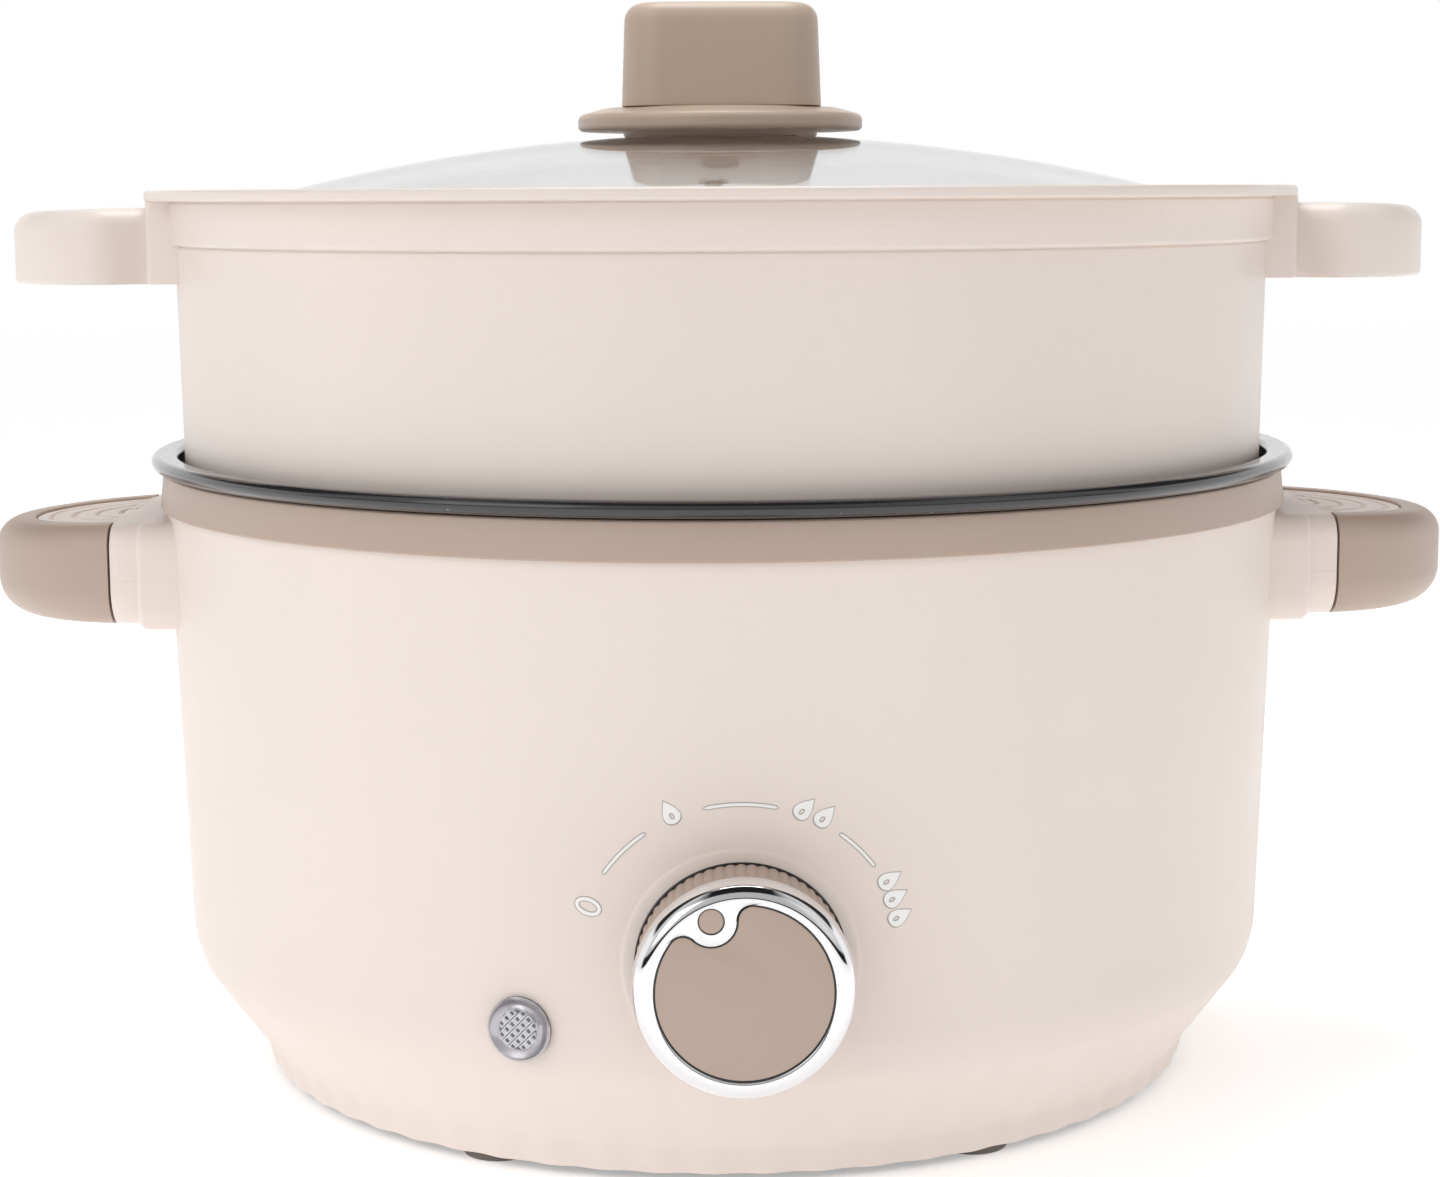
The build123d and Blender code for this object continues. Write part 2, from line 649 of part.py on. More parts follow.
def dial_skirt():
    """The ribbed skirt, with the hub that grips the shaft."""
    web = DIAL_BACK + DIAL_SKIRT_DEPTH
    skirt = dial_part(
        (SHAFT_RADIUS, DIAL_BACK),
        (7, DIAL_BACK),
        (7, web - 2),
        (DIAL_SKIRT_RADIUS - 2, web - 2),
        (DIAL_SKIRT_RADIUS - 2, DIAL_BACK),
        (DIAL_SKIRT_RADIUS, DIAL_BACK),
        (DIAL_SKIRT_RADIUS, web),
        (SHAFT_RADIUS, web),
    )
    return skirt


def dot_point(y_out):
    turn = math.radians(DOT_AZIMUTH)
    return front_point(y_out, DOT_OFFSET * math.sin(turn), DIAL_Z + DOT_OFFSET * math.cos(turn))


def face_space(grow):
    """The shallow pocket in the bezel: a disc with a round bite for the pointer."""
    floor = BEZEL_FRONT - FACE_DEPTH - grow
    disc = rod(FACE_RADIUS + grow, 8, front_point(floor), (0, -1, 0))
    return disc - rod(ISLAND_RADIUS - grow, 10, dot_point(floor - 1), (0, -1, 0))


def chrome_bezel():
    """A domed ring with an island for the pointer, closed behind by its own floor."""
    back = DIAL_BACK + DIAL_SKIRT_DEPTH
    bezel = dial_part(
        (0, back),
        (BEZEL_RADIUS - 0.6, back),
        (BEZEL_RADIUS, back + 0.8),
        (BEZEL_RADIUS, BEZEL_FRONT - 5.0),
        (BEZEL_RADIUS - 0.8, BEZEL_FRONT - 2.6),
        (BEZEL_RADIUS - 2.4, BEZEL_FRONT - 0.9),
        (BEZEL_RADIUS - 4.0, BEZEL_FRONT),
        (0, BEZEL_FRONT),
    )
    bezel -= face_space(0.1)
    return bezel - rod(DOT_RADIUS + 0.1, 3, dot_point(BEZEL_FRONT - 1.5), (0, -1, 0))


def dial_face():
    return face_space(0) & rod(30, FACE_DEPTH - 0.4, front_point(BEZEL_FRONT - FACE_DEPTH), (0, -1, 0))


def pointer_dot():
    return rod(DOT_RADIUS, 1.5, dot_point(BEZEL_FRONT - 1.5), (0, -1, 0))


def thermostat_shaft():
    return rod(SHAFT_RADIUS, DIAL_BACK + DIAL_SKIRT_DEPTH - 124, front_point(123), (0, -1, 0))


def shaft_clip():
    """A split spring ring that tightens the hub on the shaft."""
    clip = tube(8, 7, 4, front_point(DIAL_BACK + 1.5), (0, -1, 0))
    gap = block((-1.2, -DIAL_BACK - 10, DIAL_Z - 10), (1.2, -DIAL_BACK, DIAL_Z))
    return clip - gap


# ---------------------------------------------------------------- the steamer

def tab_plan(inset=0.0):
    """Half of the steamer's outline seen from above: neck, widest point and rounded tip."""
    neck = make_face(Polyline(
        (120, -TAB_NECK_HALF_WIDTH + inset),
        (TAB_ROOT, -TAB_NECK_HALF_WIDTH + inset),
        (TAB_WIDEST, -TAB_HALF_WIDTH + inset),
        (TAB_WIDEST, TAB_HALF_WIDTH - inset),
        (TAB_ROOT, TAB_NECK_HALF_WIDTH - inset),
        (120, TAB_NECK_HALF_WIDTH - inset),
        close=True,
    ))
    oval = Pos(TAB_WIDEST, 0) * Ellipse(TAB_TIP - TAB_WIDEST - inset, TAB_HALF_WIDTH - inset)
    return neck + (oval & (Pos(TAB_WIDEST + 50, 0) * Rectangle(100, 120)))


def steamer_tab():
    """A side tab, hollow from below, and the thicker block where it leaves the wall."""
    shell = Pos(0, 0, TAB_BOTTOM) * extrude(tab_plan(), TAB_TOP - TAB_BOTTOM)
    tip_edges = [e for e in shell.edges() if e.center().X > TAB_WIDEST + 2]
    shell = fillet([e for e in tip_edges if e.center().Z > TAB_TOP - 0.1], TAB_TIP_FILLET)
    shell -= Pos(0, 0, TAB_BOTTOM - 1) * extrude(tab_plan(TAB_WALL), TAB_TOP - TAB_BOTTOM - TAB_WALL + 1)
    root = block((125, -TAB_ROOT_HALF_WIDTH, TAB_BOTTOM), (TAB_ROOT, TAB_ROOT_HALF_WIDTH, FLANGE_BOTTOM))
    inside = turned(
        (0, TAB_BOTTOM - 5),
        (STEAMER_WALL_RADIUS - 1, TAB_BOTTOM - 5),
        (STEAMER_WALL_RADIUS - 1, STEP_Z + 1),
        (BAND_RADIUS - 1, STEP_Z + 1),
        (BAND_RADIUS - 1, FLANGE_TOP),
        (0, FLANGE_TOP),
    )
    return shell + root - inside


def steam_holes():
    """Rings of round holes, evenly spaced, over the basket's floor."""
    holes = [rod(STEAM_HOLE_RADIUS, 8, (0, 0, STEAMER_FLOOR_Z - 4))]
    for ring in range(1, STEAM_HOLE_RINGS + 1):
        count = 6 * ring
        for k in range(count):
            centre = polar(STEAM_HOLE_PITCH * ring, FULL_TURN * k / count, STEAMER_FLOOR_Z - 4)
            holes.append(rod(STEAM_HOLE_RADIUS, 8, centre))
    return holes


def steamer_basket():
    inner = STEAMER_WALL_RADIUS - STEAMER_WALL
    band_inner = BAND_RADIUS - STEAMER_WALL
    foot_inner = STEAMER_FOOT_RADIUS - STEAMER_WALL
    basket = turned(
        (foot_inner, POT_LEDGE_Z),
        (STEAMER_FOOT_RADIUS, POT_LEDGE_Z),
        (STEAMER_WALL_RADIUS, STEP_Z),
        (BAND_RADIUS, STEP_Z),
        (BAND_RADIUS, FLANGE_BOTTOM),
        (FLANGE_RADIUS, FLANGE_BOTTOM),
        (FLANGE_RADIUS, FLANGE_TOP),
        (band_inner, FLANGE_TOP),
        (band_inner, LID_SEAT_Z),
        (inner, LID_SEAT_Z),
        (foot_inner + 0.1, STEAMER_FLOOR_Z + 2.4),
        (0, STEAMER_FLOOR_Z + 2.4),
        (0, STEAMER_FLOOR_Z),
        (foot_inner, STEAMER_FLOOR_Z),
    )
    tab = steamer_tab()
    basket = basket + tab + mirror(tab, Plane.YZ)
    return basket - steam_holes()


# ---------------------------------------------------------------- the lid

def dome_z(radius):
    """Height of the glass's top surface at a radius."""
    return GLASS_APEX - GLASS_SPHERE + math.sqrt(GLASS_SPHERE ** 2 - radius ** 2)


def dome_section(hole, edge):
    """The glass's half section: two parallel arcs joined at the hole and at the edge."""
    middle = (hole + edge) / 2
    top = ThreePointArc((hole, dome_z(hole)), (middle, dome_z(middle)), (edge, dome_z(edge)))
    low = ThreePointArc(
        (hole, dome_z(hole) - GLASS_THICKNESS),
        (middle, dome_z(middle) - GLASS_THICKNESS),
        (edge, dome_z(edge) - GLASS_THICKNESS),
    )
    return make_face([top, low, Line(top @ 0, low @ 0), Line(top @ 1, low @ 1)])


def lid_glass():
    glass = revolve(Plane.XZ * dome_section(GLASS_HOLE, GLASS_EDGE), Axis.Z)
    return glass - rod(VENT_RADIUS, 30, (0, VENT_CENTRE, 225))


def lid_rim():
    """A thin steel channel rolled round the glass's edge."""
    channel = turned(
        (RIM_INNER, LID_SEAT_Z),
        (RIM_RADIUS, LID_SEAT_Z),
        (RIM_RADIUS, dome_z(GLASS_EDGE) + 0.5),
        (RIM_RADIUS - 1, dome_z(GLASS_EDGE) + 1.1),
        (RIM_INNER, dome_z(RIM_INNER) + 0.8),
    )
    return channel - revolve(Plane.XZ * dome_section(GLASS_HOLE, GLASS_EDGE), Axis.Z)


def vent_eyelet():
    """A steel eyelet pressed through the glass."""
    level = dome_z(VENT_CENTRE)
    collar_top = tube(4.6, VENT_RADIUS - 0.6, 0.9, (0, VENT_CENTRE, level + 0.85))
    stem = tube(VENT_RADIUS - 0.1, VENT_RADIUS - 0.6, 5.6, (0, VENT_CENTRE, level - 4.2))
    return collar_top + stem


def knob_blank():
    """A rounded square block that tapers a little towards its top."""
    width_top = KNOB_WIDTH - 2 * KNOB_TAPER
    low = Plane.XY.offset(KNOB_BOTTOM) * RectangleRounded(KNOB_WIDTH, KNOB_WIDTH, KNOB_CORNER)
    high = Plane.XY.offset(KNOB_TOP) * RectangleRounded(width_top, width_top, KNOB_CORNER)
    body = loft([low, high])
    return fillet(body.faces().sort_by(Axis.Z)[-1].edges(), KNOB_CROWN)


def lid_knob():
    knob = knob_blank()
    return knob - rod(2.4, 14, (0, 0, KNOB_BOTTOM - 1)) - rod(4, 3.1, (0, 0, KNOB_BOTTOM - 1))


def knob_base():
    """The round brim between the knob and the glass: a skirt nearly meets the glass, a spigot the knob."""
    brim = turned(
        (2.9, BRIM_BOTTOM),
        (BRIM_SKIRT_INNER, BRIM_BOTTOM),
        (BRIM_SKIRT_INNER, dome_z(BRIM_SKIRT_INNER) + BRIM_SKIRT_GAP),
        (BRIM_SKIRT_RADIUS, dome_z(BRIM_SKIRT_RADIUS) + BRIM_SKIRT_GAP),
        (BRIM_SKIRT_RADIUS, BRIM_BOTTOM),
        (BRIM_RADIUS - 1.2, BRIM_BOTTOM),
        (BRIM_RADIUS, BRIM_BOTTOM + 1.2),
        (BRIM_RADIUS, BRIM_EDGE_TOP - 1.2),
        (BRIM_RADIUS - 1.2, BRIM_EDGE_TOP),
        (BRIM_RADIUS - 7, KNOB_BOTTOM),
        (3.9, KNOB_BOTTOM),
        (3.9, KNOB_BOTTOM + 2),
        (2.9, KNOB_BOTTOM + 2),
    )
    return brim


def knob_gasket():
    return tube(13, 4.4, BRIM_BOTTOM - GLASS_APEX, (0, 0, GLASS_APEX))


def knob_washer():
    return tube(10, 2.9, 1.2, (0, 0, GLASS_APEX - GLASS_THICKNESS - 1.4))


def knob_screw():
    under = GLASS_APEX - GLASS_THICKNESS - 1.4
    head = rod(5, 3, (0, 0, under - 3))
    head = fillet(head.edges().sort_by(Axis.Z)[0], 1.4)
    head -= Pos(0, 0, under - 3) * Box(6, 1.2, 2)
    return head + rod(2.35, KNOB_BOTTOM + 12 - under, (0, 0, under))


PARTS = {
    "housing": housing,
    "trim_ring": trim_ring,
    "inner_pot": inner_pot,
    "heating_element": heating_element,
    "heat_shield": heat_shield,
    "pot_studs": pot_studs,
    "stud_nuts": stud_nuts,
    "shield_spacers": shield_spacers,
    "base_plate": base_plate,
    "base_screws": base_screws,
    "feet": feet,
    "terminal_block": terminal_block,
    "thermal_cutoff": thermal_cutoff,
    "wiring": wiring,
    "thermostat_body": thermostat_body,
    "thermostat_bracket": thermostat_bracket,
    "thermostat_screws": thermostat_screws,
    "indicator_lens": indicator_lens,
    "indicator_nut": indicator_nut,
    "indicator_lamp": indicator_lamp,
    "power_inlet": power_inlet,
    "inlet_pins": inlet_pins,
    "inlet_screws": inlet_screws,
    "handle_screws": handle_screws,
    "grip_screws": grip_screws,
    "dial_skirt": dial_skirt,
    "chrome_bezel": chrome_bezel,
    "dial_face": dial_face,
    "pointer_dot": pointer_dot,
    "thermostat_shaft": thermostat_shaft,
    "shaft_clip": shaft_clip,
    "steamer_basket": steamer_basket,
    "lid_glass": lid_glass,
    "lid_rim": lid_rim,
    "vent_eyelet": vent_eyelet,
    "lid_knob": lid_knob,
    "knob_base": knob_base,
    "knob_gasket": knob_gasket,
    "knob_washer": knob_washer,
    "knob_screw": knob_screw,
}
SIDED_PARTS = {"handle_upper": handle_upper, "handle_lower": handle_lower, "grip": grip}


def main():
    os.makedirs("parts", exist_ok=True)
    for name, make in PARTS.items():
        export_step(make(), f"parts/{name}.step")
    for name, make in SIDED_PARTS.items():
        right = make()
        export_step(right, f"parts/{name}_right.step")
        export_step(mirror(right, Plane.YZ), f"parts/{name}_left.step")


main()
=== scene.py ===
# The looks of a countertop electric pot with a steamer basket and a glass lid, for Blender 4.5.
# Shapes are worked out in millimetres in the row frame: +Z up from the table, the dial faces -Y.
# A section is a list of (radius, height) points; a third number rounds that corner to an arc.
import json
from math import acos, atan2, ceil, copysign, cos, degrees, pi, radians, sin, sqrt, tan

import bmesh
import bpy
from mathutils import Matrix, Vector


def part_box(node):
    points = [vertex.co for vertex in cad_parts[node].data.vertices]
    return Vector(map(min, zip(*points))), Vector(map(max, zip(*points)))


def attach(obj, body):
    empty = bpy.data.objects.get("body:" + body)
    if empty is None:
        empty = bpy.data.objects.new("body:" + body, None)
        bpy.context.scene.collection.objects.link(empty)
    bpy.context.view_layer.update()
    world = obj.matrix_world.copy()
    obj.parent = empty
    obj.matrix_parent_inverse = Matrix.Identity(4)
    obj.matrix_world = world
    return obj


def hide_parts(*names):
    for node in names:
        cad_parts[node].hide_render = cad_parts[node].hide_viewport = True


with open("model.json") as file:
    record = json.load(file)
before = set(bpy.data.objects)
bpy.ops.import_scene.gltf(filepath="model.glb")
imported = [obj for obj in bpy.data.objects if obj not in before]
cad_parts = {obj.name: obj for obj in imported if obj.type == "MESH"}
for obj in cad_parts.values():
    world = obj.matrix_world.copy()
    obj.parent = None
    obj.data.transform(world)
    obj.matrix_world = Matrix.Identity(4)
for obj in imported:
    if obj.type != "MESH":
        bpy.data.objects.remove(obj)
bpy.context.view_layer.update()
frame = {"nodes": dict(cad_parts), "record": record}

moved = Matrix.Translation
rotated = Matrix.Rotation
MM = 0.001
FULL_TURN = 2 * pi
QUARTER_TURN = pi / 2
STEPS = 240
MERGE_DISTANCE = 2e-7
SHARP_ANGLE = 34
BEVEL_ANGLE = 40


def cad_low(node):
    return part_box(node)[0] / MM


def cad_high(node):
    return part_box(node)[1] / MM


# Heights and radii read from the frame, in millimetres
SKIRT_BOTTOM = cad_low("housing").z
HOUSING_TOP = cad_high("housing").z
TRIM_TOP = cad_high("trim_ring").z
TRIM_RADIUS = cad_high("trim_ring").x
POT_RIM_RADIUS = cad_high("inner_pot").x
POT_TOP = cad_high("inner_pot").z
POT_BASE = cad_low("inner_pot").z
STEAMER_FOOT = cad_low("steamer_basket").z
FLANGE_TOP = cad_high("steamer_basket").z
FLANGE_RADIUS = cad_high("steamer_basket").y
TAB_TIP = cad_high("steamer_basket").x
LID_SEAT = cad_low("lid_rim").z
LID_RIM_RADIUS = cad_high("lid_rim").x
GLASS_APEX = cad_high("lid_glass").z
GLASS_EDGE = cad_high("lid_glass").x
BRIM_RADIUS = cad_high("knob_base").x
KNOB_BOTTOM = cad_low("lid_knob").z
KNOB_TOP = cad_high("lid_knob").z
KNOB_HALF = cad_high("lid_knob").x
INLET_LOW, INLET_HIGH = cad_low("power_inlet"), cad_high("power_inlet")
INLET_Z = (INLET_LOW.z + INLET_HIGH.z) / 2
DIAL_Z = (cad_low("dial_skirt").z + cad_high("dial_skirt").z) / 2
DIAL_BACK = -cad_high("dial_skirt").y
DIAL_SKIRT_RADIUS = cad_high("dial_skirt").x
BEZEL_RADIUS = cad_high("chrome_bezel").x
BEZEL_BACK = -cad_high("chrome_bezel").y
BEZEL_FRONT = -cad_low("chrome_bezel").y

# The housing's outline above the skirt's bottom edge, with corner radii, and its flutes
HOUSING_OUTLINE = [
    (123.5, SKIRT_BOTTOM, 0.7), (125, 9, 6), (141, 31, 16), (142.7, 38, 16), (146.2, HOUSING_TOP, 0.3),
]
HOUSING_WALL = 2.6
FLUTES = 60
FLUTE_DEPTH = 0.75
FLUTE_FADE = (20.0, 30.0)

# The feet: their circle, and their angles from the front
FOOT_CIRCLE = 112
FOOT_AZIMUTHS = (30.5, 149.5, 210.5, 329.5)

# Side handles of the housing; the parting splits each into an upper and a lower half
HANDLE_CENTRE = 150.4
HANDLE_RADIUS = 42.2
HANDLE_BOTTOM = 119.9
HANDLE_TOP = 146.3
HANDLE_TOP_FILLET = 6.0
HANDLE_BOTTOM_FILLET = 9.5
HANDLE_SLOPE = tan(radians(2.5))
HANDLE_ROOT = 149.4
HANDLE_SEAM = 156.5
SEAM_GAP = 0.5
HANDLE_PARTING = 132.0
COLLAR_BOTTOM = 118.9
COLLAR_HALF_WIDTH = 44.5
COLLAR_FILLET = 7
COLLAR_EDGE = 1.6
COLLAR_WALL_RADIUS = 144.4

# The ribbed pad in each handle, and the tray under it
PAD_INNER = 6.2
PAD_RADIUS = 32.0
PAD_LEVEL = HANDLE_TOP - 0.6
PAD_UNDERSIDE = 141
PAD_GROOVES = (10.0, 16.4, 22.5, 28.4)
DIMPLE_SPOTS = (-25, -15, -5, 5, 15, 25)
TRAY_LEDGE = 29.5
TRAY_LEVELS = (123.2, 125.7, 131.2)

# The steamer's side tabs and the steam holes in its floor
TAB_LOW = 206.6
TAB_HIGH = 225.5
TAB_FILLET = 5.0
TAB_EDGE = 1.2
TAB_DROOP = 1.3
TAB_ROOT = 145.4
TAB_ROOT_TOP = 227.35
TAB_WIDEST = 156.0
TAB_HALF_WIDTH = 40.0
TAB_ROOT_HALF_WIDTH = 38.0
TAB_WALL_RADIUS = 141.6
HOLE_PITCH = 17
HOLE_RINGS = 7

# The lid: glass that is part of a sphere, its vent, and the knob
GLASS_SPHERE = 464.0
GLASS_THICKNESS = 3.2
GLASS_HOLE = 4.2
GLASS_CENTRE = GLASS_APEX - sqrt(GLASS_SPHERE ** 2 - GLASS_HOLE ** 2)
VENT_REACH = 78
VENT_PLACE = moved((0, VENT_REACH, 0))
BRIM_EDGE = 244.8
SEAT_INNER, SEAT_OUTER = 20.7, 25.5
KNOB_TAPER = 1.0
KNOB_CORNER = 11.0
KNOB_CROWN = 4.5

# The dial: its ribs, the bezel's pocket with the pointer's island, and its turn at rest
DIAL_RIBS = 30
RIB_DEPTH = 0.35
POCKET_RADIUS = 19.75
POCKET_BLEND = 3.4
POCKET_POINTS = 240
ISLAND_RADIUS = 5.5
ISLAND_OFFSET = 17.6
BEZEL_CREST = 20.6
BEZEL_ROUND = 5.2
DIAL_AT_REST = 24

# Marks on the wall round the dial: arcs from one clock angle to another; drops by angle, radius, tilt
ARC_RADIUS = 37.0
ARC_HALF_WIDTH = 0.33
MARK_ARCS = [(-56, -35), (-13, 13), (36.5, 54)]
DROPS = [
    (-24, 38.1, -30), (21.4, 38.1, 46), (28.8, 38.3, 44), (61, 37.8, 58), (67.6, 37.2, 61), (74.7, 36.7, 62),
]
OFF_MARK = (-69, 36.5, -69)
PRINT_ROOT = -0.1

# Indicator lamp
LAMP_AZIMUTH = radians(-20.4)
LAMP_HEIGHT = 41.5
LAMP_WALL_RADIUS = 142.9
LAMP_RADIUS = 7.65
LAMP_DEPTH = 3.2
LAMP_FLAT = 4.2
WAFFLE_RADIUS = 4.6
WAFFLE_STEP = 1.3
WALL_DRAFT = radians(1.8)

# Power inlet: half sizes of the hole in the wall, and where its screws are
INLET_HOLE = (14.7, 10.7)
INLET_SCREW_REACH = 20

# Camera: place in millimetres; yaw, pitch and roll in degrees
CAMERA_PLACE = (-19.8, -754.7, 228.5)
CAMERA_TURN = (1.45, 7.96, -0.3)
CAMERA_LENS = 70.6
SENSOR_WIDTH = 36.0

# Studio, in metres: the floor, and the lamps as (name, place, size, power) and what they aim at
FLOOR_HALF = 4.0
FLOOR_GLOW = 0.34
SUN_PLACE = (-0.5, -0.7, 1.6)
SUN_POWER = 0.7
SUN_ANGLE = 70
LAMPS = (
    ("key", (-1.2, -1.2, 0.9), 1.0, 3.5),
    ("fill", (1.4, -1.1, 0.9), 1.0, 0.5),
    ("top", (0.0, 0.15, 1.0), 0.5, 3.5),
)
LAMP_AIM = (0, 0, 0.15)

# Studio surroundings: the dimmer front half, the windows in it, and the dark cards
FRONT_DIMMING = 0.5
LEFT_WINDOW = 0.16
RIGHT_WINDOW = 0.14
CARD_DARKNESS = 0.97


# ---- colours and materials

def srgb(red, green, blue):
    """A linear colour from the 0-255 values that a screen shows."""
    def linear(value):
        share = value / 255
        return share / 12.92 if share <= 0.04045 else ((share + 0.055) / 1.055) ** 2.4
    return (linear(red), linear(green), linear(blue), 1.0)


def scaled(colour, factor):
    return tuple(min(1.0, c * factor) for c in colour[:3]) + (1.0,)


class Nodes:
    """Short ways to add nodes to a tree."""

    def __init__(self, tree):
        self.tree = tree

    def link(self, output, target):
        self.tree.links.new(output, target)

    def node(self, kind, **inputs):
        made = self.tree.nodes.new("ShaderNode" + kind)
        for socket, value in inputs.items():
            made.inputs[socket.replace("_", " ")].default_value = value
        return made

    def ramp(self, value, low, high, out_low=0.0, out_high=1.0):
        """Carries low..high over to out_low..out_high, clamped."""
        made = self.node("MapRange", From_Min=low, From_Max=high, To_Min=out_low, To_Max=out_high)
        self.link(value, made.inputs["Value"])
        return made.outputs["Result"]

    def maths(self, operation, *values):
        made = self.node("Math")
        made.operation = operation
        for socket, value in zip(made.inputs, values):
            if isinstance(value, float):
                socket.default_value = value
            else:
                self.link(value, socket)
        return made.outputs[0]

    def product(self, total, *values):
        for value in values:
            total = self.maths("MULTIPLY", total, value)
        return total


class Shader(Nodes):
    """A material with a Principled shader, and short ways to add what drives it."""

    def __init__(self, name, **sockets):
        self.material = bpy.data.materials.new(name)
        self.material.use_nodes = True
        super().__init__(self.material.node_tree)
        self.principled = self.tree.nodes["Principled BSDF"]
        self.coords = self.node("TexCoord")
        for socket, value in sockets.items():
            self.principled.inputs[socket.replace("_", " ")].default_value = value

    def stretched(self, scale):
        """Object coordinates with each axis scaled."""
        mapping = self.node("Mapping", Scale=scale)
        self.link(self.coords.outputs["Object"], mapping.inputs["Vector"])
        return mapping.outputs["Vector"]

    def noise(self, scale, detail=2.0, vector=None):
        made = self.node("TexNoise", Scale=scale, Detail=detail)
        self.link(vector or self.coords.outputs["Object"], made.inputs["Vector"])
        return made.outputs["Fac"]

    def mixed(self, factor, first, second):
        made = self.node("Mix")
        made.data_type = "RGBA"
        for socket, value in ((6, first), (7, second)):
            if isinstance(value, tuple):
                made.inputs[socket].default_value = value
            else:
                self.link(value, made.inputs[socket])
        self.link(factor, made.inputs[0])
        return made.outputs[2]

    def colour(self, output):
        self.link(output, self.principled.inputs["Base Color"])

    def roughness(self, factor, low, high):
        self.link(self.ramp(factor, 0.3, 0.7, low, high), self.principled.inputs["Roughness"])

    def bump(self, height, strength, distance_mm):
        """Each bump stands on the one before."""
        made = self.node("Bump", Strength=strength, Distance=distance_mm * MM)
        self.link(height, made.inputs["Height"])
        normal = self.principled.inputs["Normal"]
        if normal.links:
            self.link(normal.links[0].from_socket, made.inputs["Normal"])
        self.link(made.outputs["Normal"], normal)


def plastic(name, colour, roughness=(0.36, 0.46), grain=1800, grain_depth=0.04, tone_and_sheen=0.03, **sockets):
    """Moulded plastic: a fine grain, faint upright light and dark streaks that are partly uneven tone and
    partly painted reflections of the studio's lamps, and a slowly varying gloss.
    """
    shader = Shader(name, **sockets)
    # Painted reflection: colour noise stretched upright stands in for bands of lamp light on the surface,
    # mixed with uneven tone.
    sheen_streaks = shader.noise(9, 3, shader.stretched((1, 1, 0.35)))
    speck = shader.noise(260, 1)
    streak_shade, streak_sheen = scaled(colour, 1 - tone_and_sheen), scaled(colour, 1 + tone_and_sheen / 2)
    tone = shader.mixed(shader.ramp(sheen_streaks, 0.3, 0.7), streak_shade, streak_sheen)
    shader.colour(shader.mixed(shader.ramp(speck, 0.62, 0.8, 0, 0.25), tone, scaled(colour, 0.95)))
    shader.roughness(shader.noise(35, 3), *roughness)
    shader.bump(shader.noise(grain, 3), 0.5, grain_depth)
    return shader.material


def non_stick(name):
    """A glossy black sprayed coating with fine flakes in it, whose sparkle is painted into its colour as
    pale specks.
    """
    shader = Shader(name, IOR=1.5, Coat_Weight=0.7, Coat_Roughness=0.08)
    flake_glints = shader.node("TexVoronoi", Scale=1500.0)
    shader.link(shader.coords.outputs["Object"], flake_glints.inputs["Vector"])
    few = shader.ramp(flake_glints.outputs["Color"], 0.9, 0.97)
    share = shader.product(few, shader.ramp(flake_glints.outputs["Distance"], 0.4, 0.3))
    cloud = shader.mixed(shader.noise(25, 3), srgb(30, 29, 31), srgb(42, 41, 44))
    # Painted glints: pale specks where the coating's flakes would sparkle.
    shader.colour(shader.mixed(share, cloud, srgb(150, 150, 154)))
    shader.roughness(shader.noise(400, 3), 0.16, 0.26)
    shader.bump(shader.noise(1500, 3), 0.4, 0.015)
    return shader.material


def metal(name, colour, roughness, brushed=(1, 1, 1), depth=0.01):
    shader = Shader(name, Metallic=1.0)
    streaks = shader.noise(700, 3, shader.stretched(brushed))
    shader.colour(shader.mixed(shader.noise(30, 3), scaled(colour, 0.94), colour))
    shader.roughness(streaks, *roughness)
    shader.bump(streaks, 0.35, depth)
    return shader.material


def clear(name, colour, roughness, ior=1.5, ripple=0.002):
    """Glass or clear plastic, with a very slight ripple and smears that only show in reflections."""
    shader = Shader(name, IOR=ior, Transmission_Weight=1.0)
    shader.colour(shader.mixed(shader.noise(18, 2), scaled(colour, 0.985), colour))
    shader.roughness(shader.noise(22, 4), *roughness)
    shader.bump(shader.noise(60, 2), 0.3, ripple)
    return shader.material


def braided(name, colour):
    """A woven sleeve: two crossed waves of yarn."""
    shader = Shader(name, Roughness=0.85, Sheen_Weight=0.3)
    wave = shader.node("TexWave", Scale=420.0, Distortion=0.4)
    crossed = shader.node("TexWave", Scale=420.0, Distortion=0.4)
    shader.link(shader.stretched((1, 1, 1)), wave.inputs["Vector"])
    shader.link(shader.stretched((-1, 1, 1)), crossed.inputs["Vector"])
    shader.colour(shader.mixed(wave.outputs["Fac"], scaled(colour, 0.82), colour))
    shader.bump(wave.outputs["Fac"], 0.6, 0.15)
    shader.bump(crossed.outputs["Fac"], 0.6, 0.15)
    return shader.material


CREAM = srgb(238, 226, 218)
STEAMER_CREAM = srgb(235, 223, 215)
BROWN = srgb(188, 167, 153)
KNOB_BROWN = srgb(199, 177, 159)

